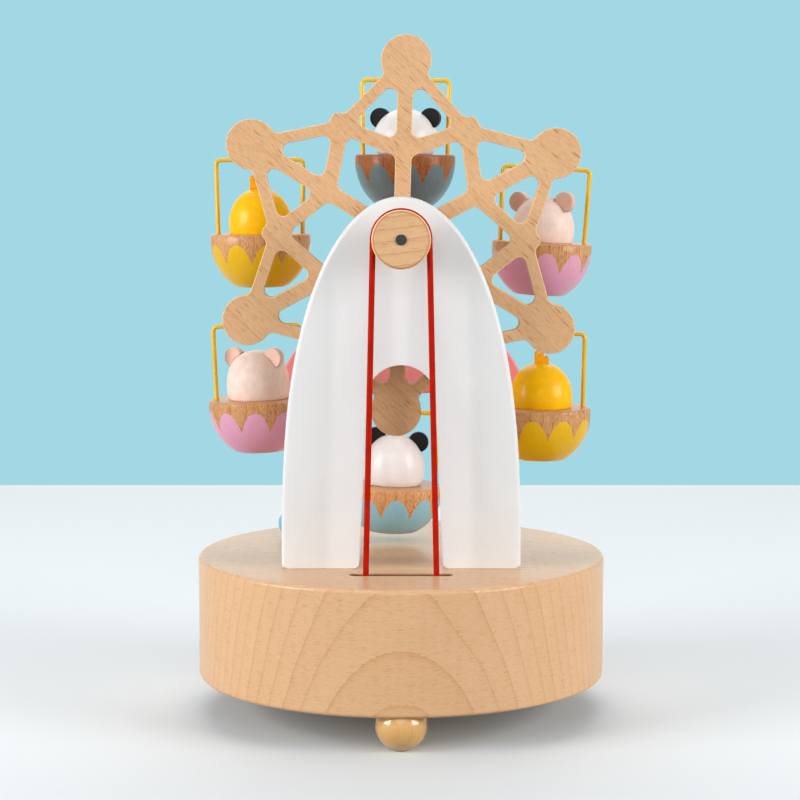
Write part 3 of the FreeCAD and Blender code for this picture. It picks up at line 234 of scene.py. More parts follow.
def beech(name, pale, deep, fleck, fibre, bark, ring_gap, dash, ring_depth=0.5, dash_depth=0.75,
          roughness=0.42, ring_start=0.0, ring_line=0.23, pore_depth=0.34,
          pore=(1.7, 0.5, 0.17), dash_share=0.5):
    """Beech cut from a solid: long streaks, year rings, dark dashes of its rays and fine pores.

    fibre and bark point along the fibres and across the rings. In millimetres, the rings stand
    ring_gap apart with a dark edge ring_line wide, and dash and pore are the sizes of one dash and
    one pore along, across and through. ring_start shifts the rings by a share of their gap. The
    depths say how dark each mark is, and dash_share how many of the dashes are drawn. The finish
    also holds its colour and its streaks.
    """
    finish = new_finish(name)
    tree = finish.tree
    along = Vector(fibre).normalized()
    out = (Vector(bark) - Vector(bark).dot(along) * along).normalized()
    turn = Matrix((along, out, along.cross(out))).to_euler()
    inside = step(tree, "Mapping", {"Vector": rest_point(tree), "Rotation": turn})

    depth = step(tree, "SeparateXYZ", {0: inside}).outputs["Y"]
    count = step(tree, "Math", {0: depth, 1: 1 / ring_gap, 2: ring_start}, operation="MULTIPLY_ADD")
    for sizes, detail, share in ((RING_BEND, 1.0, 0.6), (RING_RAGGEDNESS, 2.0, 0.1)):
        count = step(tree, "Math", {0: blots(tree, inside, sizes, detail), 1: share, 2: count},
                     operation="MULTIPLY_ADD")
    age = step(tree, "Math", {0: count}, operation="FRACT")
    late = step(tree, "Math", {0: age, 1: 3.0}, operation="POWER")
    edge = step(tree, "Math", {0: age, 1: 1.6 * ring_gap / ring_line}, operation="POWER")
    year = step(tree, "TexWhiteNoise", {"W": step(tree, "Math", {0: count}, operation="FLOOR")},
                noise_dimensions="1D")
    streak = blots(tree, inside, STREAK, detail=3.0, roughness=0.6)
    patch = blots(tree, inside, PATCH, detail=1.0)
    # how far each darkens the wood: late wood, the rings' edges, the year, streaks and patches
    tone = 0.0
    for mark, share in ((late, 0.22 * ring_depth), (edge, 0.9 * ring_depth), (year, 0.08),
                        (streak, 0.42), (patch, 0.3)):
        tone = step(tree, "Math", {0: mark, 1: share, 2: tone}, operation="MULTIPLY_ADD")
    wood = step(tree, "Mix", {0: tone, 6: linear(pale), 7: linear(deep)}, data_type="RGBA")

    rays = step(tree, "VectorMath", {0: inside, 1: [1 / (2 * size) for size in dash]}, operation="MULTIPLY")
    rays = step(tree, "TexVoronoi", {"Vector": rays, "Scale": 1.0})
    core = step(tree, "MapRange", {"Value": rays.outputs["Distance"], "From Min": 0.4, "From Max": 0.16})
    lot = step(tree, "SeparateColor", {0: rays.outputs["Color"]}).outputs["Red"]
    drawn = step(tree, "MapRange", {"Value": lot, "From Min": 1 - dash_share,
                                    "From Max": 1 - 0.2 * dash_share, "To Max": dash_depth})
    dashes = step(tree, "Math", {0: core, 1: drawn}, operation="MULTIPLY")
    pores = step(tree, "MapRange", {"Value": blots(tree, inside, pore, detail=2.0),
                                    "From Min": 0.5, "From Max": 0.72, "To Max": pore_depth})
    dark = step(tree, "Math", {0: dashes, 1: pores}, operation="MAXIMUM")
    colour = step(tree, "Mix", {0: dark, 6: wood, 7: linear(fleck)}, data_type="RGBA")

    height = step(tree, "Math", {0: streak, 1: 0.35}, operation="MULTIPLY")
    height = step(tree, "Math", {0: height, 1: dark}, operation="SUBTRACT")
    relief = step(tree, "Bump", {"Height": height, "Strength": 0.22, "Distance": WOOD_RELIEF * MM})
    shine = step(tree, "MapRange", {"Value": streak, "From Min": 0.2, "From Max": 0.8,
                                    "To Min": roughness - 0.05, "To Max": roughness + 0.06})
    feed(finish.surface, {"Base Color": colour, "Roughness": shine, "Normal": relief,
                          "Specular IOR Level": 0.3})
    finish.colour, finish.streak = colour, streak
    return finish


def finish_piece(name, finish):
    """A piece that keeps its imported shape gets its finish."""
    for place in nodes[name].material_slots:
        place.material = finish.material


# Turned and sanded beech under a thin satin lacquer: warm tan, fine dashes 1 to 2 mm long, rings
# about 3.2 mm apart that lean back, and enough gloss for the belt to mirror in the flat top.
beech_base = beech("satin_lacquered_beech", "#EBC298", "#CF9C69", "#A8683A",
                   fibre=(1, 0, 0), bark=(0, 1, 0.18), ring_gap=3.2, dash=(1.7, 3.0, 0.1),
                   dash_depth=0.6, ring_start=0.09, ring_line=0.3, pore_depth=0.24)
# The inner walls of the slot and the hollow get painted shade: dark brown from a little under the top face
# down to the rebate of the bottom plate.
HOLLOW_PAINTED_SHADE = "#5E3013"
HOLLOW_SHADE_STARTS = 0.1
HOLLOW_SHADE_FULL = 0.7
REBATE = 1.0
WALL_LEFT = 3.0
base_low, base_high = (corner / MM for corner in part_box("base"))
tree = beech_base.tree
here = rest_point(tree)
height = step(tree, "SeparateXYZ", {0: here}).outputs["Z"]
radius = step(tree, "VectorMath", {0: here, 1: (1, 1, 0)}, operation="MULTIPLY")
radius = step(tree, "VectorMath", {0: radius}, operation="LENGTH")
inner = step(tree, "Math", {0: radius, 1: base_high.x - WALL_LEFT}, operation="LESS_THAN")
under = step(tree, "MapRange", {"Value": height, "From Min": base_high.z - HOLLOW_SHADE_STARTS,
                                "From Max": base_high.z - HOLLOW_SHADE_FULL})
above = step(tree, "Math", {0: height, 1: base_low.z + REBATE}, operation="GREATER_THAN")
# painted shade on the inner walls of the slot and the hollow
hollow_shade_mask = step(tree, "Math", {0: inner, 1: under}, operation="MULTIPLY")
hollow_shade_mask = step(tree, "Math", {0: hollow_shade_mask, 1: above}, operation="MULTIPLY")
colour = step(tree, "Mix", {0: hollow_shade_mask, 6: beech_base.colour, 7: linear(HOLLOW_PAINTED_SHADE)}, data_type="RGBA")
feed(beech_base.surface, {"Base Color": colour, "Coat Weight": 0.3, "Coat Roughness": 0.14})
finish_piece("base", beech_base)


# ---- ball feet --------------------------------------------------------------
# Three turned balls with a flat sole, doweled and glued into the underside of the base.
# Paler, yellower wood than the base, dipped in clear gloss lacquer.
# Thick gloss lacquer on pale wood: two small sharp window highlights and hardly any grain.
gloss_ball = beech("gloss_dipped_pale_wood", "#E9BC74", "#D29C52", "#B57D3A",
                   fibre=(0, 0, 1), bark=(0.5, 1, 0), ring_gap=2.6, dash=(0.9, 2.0, 0.12),
                   ring_depth=0.4, dash_depth=0.25, roughness=0.30)
feed(gloss_ball.surface, {"Coat Weight": 1.0, "Coat Roughness": 0.06})
finish_piece("ball_feet", gloss_ball)


# ---- bottom plate and wood screws -------------------------------------------
# A round of three-ply birch that closes the base from below and carries the movement.
# Countersunk slotted steel screws hold it, and two more hold the arch from inside the base.
PLY_LAYERS = 3
PLY_CORE = "#A47C4E"
plate_low, plate_high = (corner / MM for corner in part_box("bottom_plate"))
ply = (plate_high.z - plate_low.z) / PLY_LAYERS
# Sanded birch plywood: pale face with long soft streaks, and layers that alternate at its rim.
plywood = beech("sanded_birch_plywood", "#E6CDA2", "#D2B283", "#BF9A68",
                fibre=(0, 1, 0), bark=(0.8, 0, 1), ring_gap=2.2, dash=(2.4, 1.0, 0.12), ring_depth=0.16,
                dash_depth=0.3, roughness=0.62, ring_line=0.9, pore=(4.0, 0.5, 0.25))
tree = plywood.tree
height = step(tree, "SeparateXYZ", {0: rest_point(tree)}).outputs["Z"]
layer = step(tree, "Math", {0: height, 1: plate_low.z}, operation="SUBTRACT")
layer = step(tree, "Math", {0: layer, 1: 2 * ply}, operation="MODULO")
core = step(tree, "Math", {0: layer, 1: ply}, operation="GREATER_THAN")
core = step(tree, "Math", {0: core, 1: 0.55}, operation="MULTIPLY")
colour = step(tree, "Mix", {0: core, 6: plywood.colour, 7: linear(PLY_CORE)}, data_type="RGBA")
feed(plywood.surface, {"Base Color": colour})
finish_piece("bottom_plate", plywood)

METAL_HAZE = 5.56
METAL_RELIEF = 0.05


def metal(name, colour, roughness, brush, relief=0.12):
    """A bare or plated metal: brush is how far its marks run along X, Y and Z, in millimetres."""
    finish = new_finish(name)
    tree = finish.tree
    here = rest_point(tree)
    marks = blots(tree, here, brush, detail=4.0, roughness=0.65)
    haze = blots(tree, here, [METAL_HAZE] * 3, detail=2.0)
    dulled = step(tree, "MapRange", {"Value": haze, "From Min": 0.35, "From Max": 0.75, "To Max": 0.7})
    tint = step(tree, "Mix", {0: dulled, 6: linear(colour), 7: linear(colour, share=0.72)}, data_type="RGBA")
    shine = step(tree, "MapRange", {"Value": marks, "From Min": 0.3, "From Max": 0.7,
                                    "To Min": roughness - 0.08, "To Max": roughness + 0.08})
    grooves = step(tree, "Bump", {"Height": marks, "Strength": relief, "Distance": METAL_RELIEF * MM})
    feed(finish.surface, {"Base Color": tint, "Metallic": 1.0, "Roughness": shine, "Normal": grooves})
    return finish


# Zinc plated steel: bright grey with a slightly cloudy passivated skin.
zinc_steel = metal("zinc_plated_steel", "#B9BABA", 0.36, (0.3, 0.3, 0.3))
finish_piece("wood_screws", zinc_steel)


# ---- musical movement -------------------------------------------------------
# The spring motor inside the base: a die-cast bedplate with its uprights, a tuned steel comb, a
# pinned brass cylinder on the drive arbor, and a wound spring in a toothed barrel, all screwed down.
# Die-cast zinc: dull grey with the fine grain of the mould, 0.4 mm across.
cast_zinc = metal("die_cast_zinc", "#A9ABAC", 0.46, (0.4, 0.4, 0.4), relief=0.3)
# Ground spring steel: fine parallel grinding marks that run along the comb's teeth.
spring_steel = metal("ground_spring_steel", "#B9BCC0", 0.28, (6.0, 0.15, 0.6), relief=0.18)
# Turned brass: warm yellow with fine marks running round the cylinder, drawn here across its axis.
brass = metal("turned_brass", "#D9B45B", 0.26, (2.0, 0.12, 2.0), relief=0.15)
# Blackened steel: dark and oily, as on arbors and the governor's shaft.
dark_steel = metal("blackened_steel", "#5A5C5E", 0.34, (0.3, 2.0, 0.3))
finish_piece("movement_bedplate", cast_zinc)
finish_piece("governor_frame", cast_zinc)
finish_piece("movement_screws", zinc_steel)
finish_piece("musical_comb", spring_steel)
finish_piece("mainspring", spring_steel)
finish_piece("drive_arbor", dark_steel)
finish_piece("key_arbor", dark_steel)
for name in ("music_cylinder", "cylinder_pinion", "spring_barrel", "crown_gear", "governor_fan"):
    finish_piece(name, brass)


# ---- winding key ------------------------------------------------------------
# A key of plated steel, fixed on the end of the winding arbor, below the middle of the bottom
# plate.
SAME_PLACE = 0.002
SAME_PLANE = 0.4
EASE_STEPS = 3


def reworked(name, finish, body, ease, sharp=35.0, edge=None, trim=None):
    """Builds a piece anew from a packed one: plain faces, then every sharp edge eased.

    ease is how far each edge sharper than so many degrees is taken down, in millimetres; edge is a
    finish of its own for the eased strips, and trim a function that works on the plain faces first.
    """
    work = bmesh.new()
    work.from_mesh(nodes[name].data)
    bmesh.ops.remove_doubles(work, verts=work.verts, dist=SAME_PLACE * MM)
    bmesh.ops.dissolve_limit(work, angle_limit=math.radians(SAME_PLANE), verts=work.verts, edges=work.edges)
    if trim:
        trim(work)
    mesh = bpy.data.meshes.new(name + "_eased")
    work.to_mesh(mesh)
    work.free()
    for face in mesh.polygons:
        face.use_smooth = True
    mesh.set_sharp_from_angle(angle=math.radians(sharp))
    mesh.materials.append(finish.material)
    piece = bpy.data.objects.new(name + "_eased", mesh)
    scene.collection.objects.link(piece)
    eased = piece.modifiers.new("eased_edges", "BEVEL")
    eased.width = ease * MM
    eased.segments = EASE_STEPS
    eased.limit_method = "ANGLE"
    eased.angle_limit = math.radians(sharp)
    eased.use_clamp_overlap = False
    eased.harden_normals = True
    if edge:
        mesh.materials.append(edge.material)
        eased.material = 1
    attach(piece, body)
    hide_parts(name)


# Tumbled nickel plate: bright and a little soft, without any straight marks.
nickel = metal("tumbled_nickel_plate", "#D2D0CA", 0.2, (0.5, 0.5, 0.5), relief=0.08)
reworked("winding_key", nickel, "key", ease=0.25)


# ---- support arch -----------------------------------------------------------
# A thick board sawn to a tall arch with an arched window, its edges rounded over, primed and
# sprayed white, and held by two screws from inside the base.
PAINT_RELIEF = 0.1


def sprayed(name, colour, shade, roughness, peel=0.5, peel_depth=0.06, mottle=18):
    """Sprayed or dipped paint: its colour drifts a little to shade in blots mottle wide, and its skin
    has faint dimples peel wide, in millimetres. The finish also holds its colour and its skin."""
    finish = new_finish(name)
    tree = finish.tree
    here = rest_point(tree)
    drift = blots(tree, here, [mottle] * 3, detail=3.0)
    tone = step(tree, "MapRange", {"Value": drift, "From Min": 0.3, "From Max": 0.72})
    tint = step(tree, "Mix", {0: tone, 6: linear(colour), 7: linear(shade)}, data_type="RGBA")
    skin = step(tree, "Bump", {"Height": blots(tree, here, [peel] * 3, detail=1.0),
                               "Strength": peel_depth, "Distance": PAINT_RELIEF * MM})
    shine = step(tree, "MapRange", {"Value": drift, "From Min": 0.3, "From Max": 0.7,
                                    "To Min": roughness - 0.04, "To Max": roughness + 0.05})
    feed(finish.surface, {"Base Color": tint, "Roughness": shine, "Normal": skin, "Specular IOR Level": 0.3})
    finish.colour, finish.skin = tint, skin
    return finish


INNER_CORNER = 1.6
OUTER_CORNER = 1.5
OUTER_SIDE = 33.0
OUTER_BAND = 3.0
CORNER_TURNS = (0, 20, 40, 60, 75)
LEVEL = 0.02
SHORTEST_LEVEL_EDGE = 3.0
foot_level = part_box("support_arch")[0].z / MM


def round_feet(work):
    """Rounds the feet's inner lower edges, and draws their outer sides in below to a quarter round."""
    def places(part):
        return [vert.co / MM for vert in part.verts]

    inner = [edge for edge in work.edges
             if all(abs(place.z - foot_level) < LEVEL for place in places(edge))
             and all(abs(place.x) < OUTER_SIDE for place in places(edge))
             and abs(places(edge)[0].x - places(edge)[1].x) < LEVEL
             and edge.calc_length() > SHORTEST_LEVEL_EDGE * MM]
    bmesh.ops.bevel(work, geom=inner, offset=INNER_CORNER * MM, segments=5, profile=0.5, affect="EDGES")
    for turn in CORNER_TURNS:
        level = foot_level + OUTER_CORNER * (1 - math.sin(math.radians(turn)))
        side = [face for face in work.faces
                if all(abs(place.x) > OUTER_SIDE - OUTER_BAND for place in places(face))
                and min(place.z for place in places(face)) < level]
        edges = {edge for face in side for edge in face.edges}
        verts = {vert for face in side for vert in face.verts}
        bmesh.ops.bisect_plane(work, geom=[*verts, *edges, *side],
                               plane_co=(0, 0, level * MM), plane_no=(0, 0, 1))
    for vert in work.verts:
        left_over = OUTER_CORNER - (vert.co.z / MM - foot_level)
        if left_over > 0 and abs(vert.co.x) / MM > OUTER_SIDE:
            drawn_in = OUTER_CORNER - math.sqrt(max(OUTER_CORNER ** 2 - left_over ** 2, 0))
            vert.co.x -= math.copysign(drawn_in * MM, vert.co.x)


# Satin white acrylic: even and soft, faintly warm, with a skin that the spray leaves slightly dimpled.
white_satin = sprayed("sprayed_satin_white", "#E7E9EA", "#E3E5E6", 0.38, peel=0.9)
reworked("support_arch", white_satin, "root", ease=0.3, trim=round_feet)


# ---- axle bush --------------------------------------------------------------
# A flanged bush turned from the same brass as the cylinder and pressed into the arch, in which the
# axle runs.
finish_piece("axle_bush", brass)


# ---- wheel ------------------------------------------------------------------
# A lattice of one flat beech board, sawn to six spokes with a disc at each tip, sanded round its
# edges, with a turned beech button glued over the hub on the riders' side.
FIBRE_SLANT = math.radians(43)
slope, rise = math.cos(FIBRE_SLANT), math.sin(FIBRE_SLANT)
board_cut = {"fibre": (slope, 0, -rise), "bark": (0.35 * rise, 0.94, 0.35 * slope), "ring_gap": 2.9,
             "dash": (2.3, 1.4, 0.16), "dash_depth": 1.0, "dash_share": 0.16, "ring_depth": 0.35,
             "pore_depth": 0.44, "pore": (2.2, 0.6, 0.13), "roughness": 0.55}
# Sanded beech under thin matt oil: tan with a rosy cast and sparse dark dashes 2 to 3 mm long, on a
# slant from upper left to lower right as seen from the belt side.
beech_board = beech("oiled_beech_board", "#E9C196", "#CC9964", "#96481A", **board_cut)
# The eased edges get a paler copy of the board as a painted highlight, a light line round every opening.
beech_edge = beech("beech_edge_painted_highlight", "#F1D2A8", "#DFB484", "#B57F4C", **board_cut)
reworked("wheel_frame", beech_board, "wheel", ease=0.28, sharp=50.0, edge=beech_edge)
finish_piece("hub_cap", beech_board)


# ---- axle and gondola pins --------------------------------------------------
# A steel rod through the bush, glued into the wheel's hub and the pulley, and a steel pin with a
# collar and a riveted head in each disc of the wheel.
# Drawn steel, oiled: dark blue-grey end grain of the rod with fine marks along its length.
drawn_steel = metal("drawn_steel_rod", "#484B4C", 0.45, (0.2, 3.0, 0.2))
finish_piece("wheel_axle", drawn_steel)
reworked("gondola_pins", zinc_steel, "wheel", ease=0.3)


# ---- pulleys ----------------------------------------------------------------
# Two turned beech pulleys with a round groove for the belt: a small one glued on the axle and a
# larger one on the movement's arbor inside the base.
CHAMFER_INSIDE = 8.1
CHAMFER_LINE = 0.26
RIM_PAINTED_HIGHLIGHT = "#F8E0BC"
CHAMFER_EDGE_BROWN = "#A9662B"
# Turned beech: paler than the wheel, with fine lines that run nearly level over its face. The chamfer is
# painted pale as a painted highlight on its rim, with a thin brown line where it meets the face.
beech_pulley = beech("turned_beech_pulley", "#E8C094", "#CF9E6E", "#9C5F30",
                     fibre=(0.99, 0, 0.12), bark=(0, 0.45, 0.89), ring_gap=3.1, dash=(2.2, 2.0, 0.1),
                     ring_depth=0.75, dash_depth=0.5, ring_line=0.5, pore_depth=0.2)
tree = beech_pulley.tree
axle_low, axle_high = (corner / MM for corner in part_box("wheel_axle"))
radius = step(tree, "VectorMath", {0: rest_point(tree), 1: (axle_low + axle_high) / 2}, operation="SUBTRACT")
radius = step(tree, "VectorMath", {0: radius, 1: (1, 0, 1)}, operation="MULTIPLY")
radius = step(tree, "VectorMath", {0: radius}, operation="LENGTH")
line = step(tree, "Math", {0: radius, 1: CHAMFER_INSIDE, 2: CHAMFER_LINE}, operation="COMPARE")
line = step(tree, "Math", {0: line, 1: 0.5}, operation="MULTIPLY")
# painted highlight over the chamfer
chamfer = step(tree, "MapRange", {"Value": radius, "From Min": CHAMFER_INSIDE + 0.1,
                                  "From Max": CHAMFER_INSIDE + 0.35, "To Max": 0.6})
colour = step(tree, "Mix", {0: line, 6: beech_pulley.colour, 7: linear(CHAMFER_EDGE_BROWN)}, data_type="RGBA")
colour = step(tree, "Mix", {0: chamfer, 6: colour, 7: linear(RIM_PAINTED_HIGHLIGHT)}, data_type="RGBA")
feed(beech_pulley.surface, {"Base Color": colour})
finish_piece("top_pulley", beech_pulley)
finish_piece("drive_pulley", beech_pulley)


# ---- belt -------------------------------------------------------------------
# A round cord of red rubber with its ends joined, stretched over both pulleys through the slot in
# the base.
# Extruded rubber: deep red with a dull sheen and the faint mottling of its talc, 4 mm across.
rubber = sprayed("extruded_red_rubber", "#BA1E05", "#A81804", 0.6, peel=0.35, mottle=4)
feed(rubber.surface, {"Specular IOR Level": 0.05})
finish_piece("drive_belt", rubber)


# ---- station gate -----------------------------------------------------------
# A round-topped board behind the wheel on two turned posts, doweled into the base; the board is
# dipped in coral paint and the posts in white.
# Coral dipping paint: a flat, milky pink with a satin skin.
coral = sprayed("dipped_coral_paint", "#EE8F92", "#E58588", 0.42)
# White dipping paint: plain and slightly warm, a little glossier than the coral.
white_dip = sprayed("dipped_white_paint", "#F0EEEC", "#E9E6E4", 0.4)
finish_piece("gate_roof", coral)
finish_piece("gate_posts", white_dip)


# ---- ball beside the gate ---------------------------------------------------
# A small turned ball at the left of the gate, glued on the base by a short dowel and dipped in
# bright blue paint.
# Gloss dipping paint: clear sky blue with a smooth wet look.
sky_blue = sprayed("dipped_sky_blue_paint", "#78C6DF", "#6CB9D3", 0.3)
feed(sky_blue.surface, {"Coat Weight": 0.5})
finish_piece("blue_ball", sky_blue)


# ---- gondolas: hangers and bails --------------------------------------------
# Six steel links hang on the pins. Each carries a bail, one bent wire with a yellow plastic coat,
# whose feet are glued into the seat.
# Dip-coated wire: strong yellow, half gloss, a little thicker in places.
yellow_wire = sprayed("plastic_coated_wire", "#F0C21E", "#E6B414", 0.3, peel=1.4, peel_depth=0.03)
feed(yellow_wire.surface, {"Coat Weight": 0.3})
for number in range(1, 7):
    reworked(f"hanger_{number}", zinc_steel, f"gondola_{number}", ease=0.3)
    finish_piece(f"bail_{number}", yellow_wire)


# ---- gondolas: seats --------------------------------------------------------
# Half balls of beech turned with a flat top, oiled, and painted below in ten hanging scallops with
# sharp points of bare wood between them.
SEAT_TOP_DROP = 27.9
SCALLOP_COUNT = 10
SCALLOP_TOP = 3.1
SCALLOP_POINTEDNESS = 2.3
SPIKE_TIP = 9.3
HAND_WAVE = 2.38
HAND_WAVE_HEIGHT = 0.5
# pale, deep and fleck of the wood: of most seats, and a darker copy of it with painted shade for the top
# seat, which sits in the wheel's shade
SEAT_WOODS = {"plain": ("#E4B07C", "#BE8045", "#7A3A18"), "wood_in_painted_shade": ("#B9743F", "#8C4A22", "#54250E")}
# colour and shade of each paint, and the slot it belongs to
SEAT_PAINTS = {
    "blue": ("#93C5D5", "#83B4C3", "blue_seat"),
    # a darker, greyer copy of the blue with painted shade, for the top seat
    "dusk_blue": ("#71878C", "#607479", "blue_seat"),
    "yellow": ("#F0C100", "#DEAA00", "yellow_seat"),
    "pink": ("#E8A9C6", "#D998B3", "pink_seat"),
}
# by gondola, anticlockwise from the top one as seen from the belt side: how far it leans about Y in
# degrees, the seat's wood and paint, and the angle of one spike
SEATS = {
    # the top seat takes the copies of its wood and its blue with painted shade
    1: (0.4, "wood_in_painted_shade", "dusk_blue", 21.0),
    2: (-0.4, "plain", "yellow", -7.0),
    3: (-1.5, "plain", "pink", 17.0),
    4: (2.2, "plain", "blue", 22.5),
    5: (0.2, "plain", "yellow", 5.0),
    6: (3.2, "plain", "pink", 20.5),
}
pivots = {joint["child"]: Vector(joint["pos_m"]) / MM for joint in frame["joints"]}


def from_seat_top(tree, number, turn=0.0):
    """A point's place from the middle of a gondola's seat top, turned about Z, in millimetres."""
    lean = Matrix.Rotation(math.radians(SEATS[number][0]), 3, "Y")
    spin = Matrix.Rotation(math.radians(turn), 3, "Z")
    middle = pivots[f"gondola_{number}"] + lean @ Vector((0, 0, -SEAT_TOP_DROP))
    return step(tree, "Mapping", {"Vector": rest_point(tree), "Location": middle,
                                  "Rotation": (lean @ spin).to_euler()}, vector_type="TEXTURE")


for number, (lean, wood, paint, spike) in SEATS.items():
    # Oiled beech with its fibres upright, and satin paint over it that lets a little grain through.
    seat_finish = beech(f"oiled_beech_with_{paint}_scallops_{number}", *SEAT_WOODS[wood],
                        fibre=(0.04, 0, 1), bark=(0.7, 0.7, 0), ring_gap=2.4, dash=(1.6, 1.2, 0.14),
                        ring_depth=0.8, dash_depth=0.8, pore_depth=0.7, pore=(1.3, 0.35, 0.14))
    tree = seat_finish.tree
    place = step(tree, "SeparateXYZ", {0: from_seat_top(tree, number)}).outputs
    bearing = step(tree, "Math", {0: place["Y"], 1: -1.0}, operation="MULTIPLY")
    bearing = step(tree, "Math", {0: place["X"], 1: bearing}, operation="ARCTAN2")
    lobe = step(tree, "Math", {0: bearing, 1: SCALLOP_COUNT / math.tau,
                               2: SCALLOP_COUNT * (1 - spike / 360)}, operation="MULTIPLY_ADD")
    lobe = step(tree, "Math", {0: lobe}, operation="FRACT")
    lobe = step(tree, "Math", {0: lobe, 1: 2.0, 2: -1.0}, operation="MULTIPLY_ADD")
    lobe = step(tree, "Math", {0: lobe}, operation="ABSOLUTE")
    lobe = step(tree, "Math", {0: lobe, 1: SCALLOP_POINTEDNESS}, operation="POWER")
    hand = blots(tree, rest_point(tree), [HAND_WAVE] * 3, detail=1.0)
    depth = step(tree, "Math", {0: hand, 1: HAND_WAVE_HEIGHT, 2: SCALLOP_TOP - HAND_WAVE_HEIGHT / 2},
                 operation="MULTIPLY_ADD")
    depth = step(tree, "Math", {0: lobe, 1: SPIKE_TIP - SCALLOP_TOP, 2: depth}, operation="MULTIPLY_ADD")
    below = step(tree, "Math", {0: place["Z"], 1: depth}, operation="ADD")
    painted = step(tree, "MapRange", {"Value": below, "From Min": 0.06, "From Max": -0.08},
                   interpolation_type="SMOOTHSTEP")
    colour, shade, slot = SEAT_PAINTS[paint]
    coat = step(tree, "Mix", {0: seat_finish.streak, 6: linear(colour), 7: linear(shade)}, data_type="RGBA")
    colour = step(tree, "Mix", {0: painted, 6: seat_finish.colour, 7: coat}, data_type="RGBA")
    shine = step(tree, "MapRange", {"Value": painted, "To Min": 0.46, "To Max": 0.36})
    film = step(tree, "Math", {0: seat_finish.streak, 1: 0.15, 2: painted}, operation="MULTIPLY_ADD")
    relief = step(tree, "Bump", {"Height": film, "Strength": 0.35, "Distance": 0.12 * MM})
    feed(seat_finish.surface, {"Base Color": colour, "Roughness": shine, "Normal": relief,
                               "Specular IOR Level": 0.18, "Coat Weight": 0.3, "Coat Roughness": 0.16})
    reworked(f"seat_{number}", seat_finish, f"gondola_{number}", ease=0.35)


# ---- riders: ears and combs -------------------------------------------------
# Ears and combs are sawn from thin wood, sanded round, painted and glued on the heads: black ears
# for the pandas, rosy ones for the bears, orange combs for the chicks.
EAR_EASE = 0.35
COMB_EASE = 0.22
# Flat black paint with a soft sheen at its edges.
soft_black = sprayed("soft_black_paint", "#151313", "#1D1A19", 0.42)
# Milky rose paint, a shade deeper than the bears' heads.
rosy = sprayed("rosy_ear_paint", "#F0CBBB", "#E0B5A3", 0.42)
# Strong orange paint, its colour drifting a little.
comb_orange = sprayed("orange_comb_paint", "#FDB004", "#F8A602", 0.42)
for finish in (soft_black, rosy):
    feed(finish.surface, {"Specular IOR Level": 0.18})
for number in (1, 4):
    reworked(f"panda_ears_{number}", soft_black, f"gondola_{number}", ease=EAR_EASE)
for number in (3, 6):
    reworked(f"bear_ears_{number}", rosy, f"gondola_{number}", ease=EAR_EASE)
for number in (2, 5):
    reworked(f"chick_comb_{number}", comb_orange, f"gondola_{number}", ease=COMB_EASE)


# ---- riders: bodies and faces -----------------------------------------------
# Turned egg-shaped bodies, doweled into the seats and sprayed, with a small plain face painted on
# the side away from the belt.
FACE_BLACK = "#241F1E"
FACE_BLUSH = "#E8929A"
EYE_LIGHT = "#F4F2F0"
BEAK_ORANGE = "#E8701C"
MUZZLE_CREAM = "#F3E6DE"
EYES_UP = 0.62
NOSE_UP = 0.47
FIBRE_WIDTH = 0.35
FIBRE_LENGTH = 5.0
# each body's paint: colour, shade, roughness, gloss of its top coat, how far the fibres show
BODY_PAINTS = {
    "panda": ("#EBE8E7", "#E4E0DF", 0.4, 0.4, 0.04),
    "chick": ("#FFC800", "#FBBA00", 0.36, 0.2, 0.08),
    "bear": ("#F6E2D6", "#EDD1C3", 0.45, 0.15, 0.2),
}
# by gondola: the rider, its height, and how far it is turned about Z in degrees
RIDERS = {
    1: ("panda", 14.3, -15.0),
    2: ("chick", 14.4, 0.0),
    3: ("bear", 15.3, -28.0),
    4: ("panda", 16.5, 0.0),
    5: ("chick", 14.1, 0.0),
    6: ("bear", 14.6, -33.0),
}


def face_marks(rider, tall):
    """The round marks of a plain face, from the middle of the body's foot: across, up, half width,
    half height, softness of the edge, colour."""
    eyes_up, nose_up = EYES_UP * tall, NOSE_UP * tall
    marks = []
    for side in (-1, 1):
        if rider == "panda":
            marks.append((side * 3.7, eyes_up, 1.9, 2.1, 0.1, FACE_BLACK))
            marks.append((side * 3.5, eyes_up + 0.3, 0.6, 0.6, 0.2, EYE_LIGHT))
        else:
            marks.append((side * 3.4, eyes_up, 0.75, 0.8, 0.15, FACE_BLACK))
        marks.append((side * 5.6, nose_up - 0.4, 1.3, 1.1, 0.7, FACE_BLUSH))
    if rider == "chick":
        marks.append((0, nose_up + 0.5, 1.5, 0.95, 0.1, BEAK_ORANGE))
    else:
        marks.append((0, nose_up, 2.6, 1.9, 0.1, MUZZLE_CREAM))
        marks.append((0, nose_up + 0.7, 0.95, 0.65, 0.15, FACE_BLACK))
    return marks


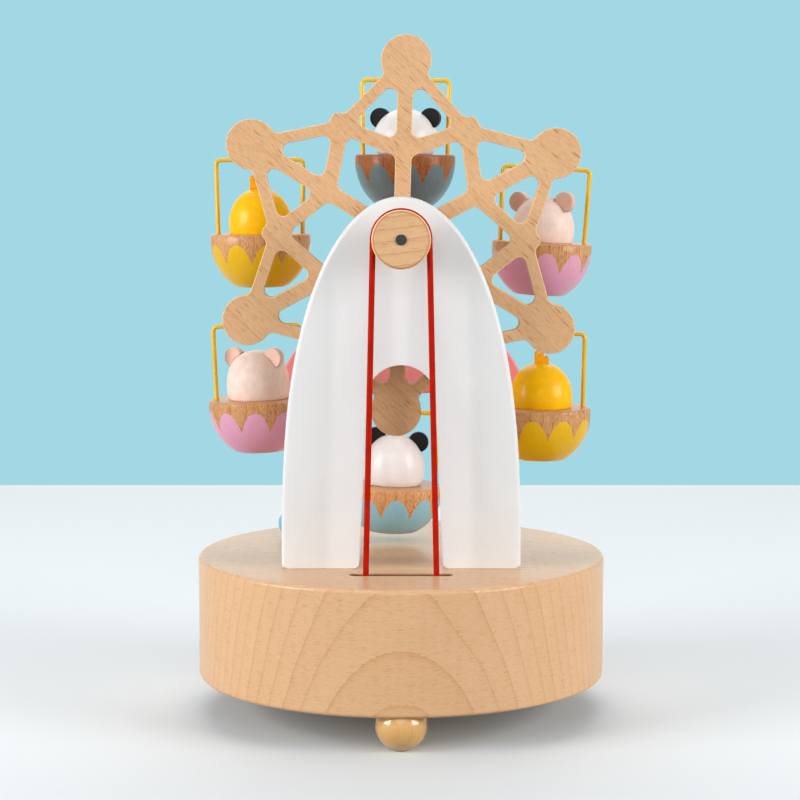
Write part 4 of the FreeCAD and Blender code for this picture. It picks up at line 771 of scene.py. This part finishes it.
def marked(tree, place, colour, marks):
    """Paints round marks over a colour, on the front of a body only."""
    front = step(tree, "Math", {0: place["Y"], 1: 0.0}, operation="GREATER_THAN")
    for across, up, half_width, half_height, softness, paint in marks:
        reach = 0.0
        for coordinate, middle, half in ((place["X"], across, half_width), (place["Z"], up, half_height)):
            part = step(tree, "Math", {0: coordinate, 1: 1 / half, 2: -middle / half},
                        operation="MULTIPLY_ADD")
            reach = step(tree, "Math", {0: part, 1: part, 2: reach}, operation="MULTIPLY_ADD")
        mask = step(tree, "MapRange", {"Value": reach, "From Min": 1 + softness, "From Max": 1 - softness},
                    interpolation_type="SMOOTHSTEP")
        mask = step(tree, "Math", {0: mask, 1: front}, operation="MULTIPLY")
        colour = step(tree, "Mix", {0: mask, 6: colour, 7: linear(paint)}, data_type="RGBA")
    return colour


for number, (rider, tall, turn) in RIDERS.items():
    colour, shade, roughness, gloss, fibres_show = BODY_PAINTS[rider]
    # Sprayed satin paint over sanded wood: even colour, a fine dimpled skin, crisp painted marks.
    # The turned wood's upright fibres, 0.35 mm apart, just show through it.
    body_paint = sprayed(f"sprayed_{rider}_body_{number}", colour, shade, roughness,
                         peel=0.45, peel_depth=0.1, mottle=3)
    tree = body_paint.tree
    fibres = blots(tree, rest_point(tree), (FIBRE_WIDTH, FIBRE_WIDTH, FIBRE_LENGTH), detail=2.0)
    show = step(tree, "MapRange", {"Value": fibres, "From Min": 0.42, "From Max": 0.8,
                                   "To Max": fibres_show})
    colour = step(tree, "Mix", {0: show, 6: body_paint.colour, 7: linear(shade, share=0.62)},
                  data_type="RGBA")
    place = step(tree, "SeparateXYZ", {0: from_seat_top(tree, number, turn)}).outputs
    ribs = step(tree, "Bump", {"Height": fibres, "Normal": body_paint.skin, "Strength": fibres_show,
                               "Distance": PAINT_RELIEF * MM})
    colour = marked(tree, place, colour, face_marks(rider, tall))
    feed(body_paint.surface, {"Base Color": colour, "Normal": ribs, "Specular IOR Level": 0.12,
                              "Coat Weight": gloss, "Coat Roughness": 0.18})
    finish_piece(f"{rider}_head_{number}", body_paint)
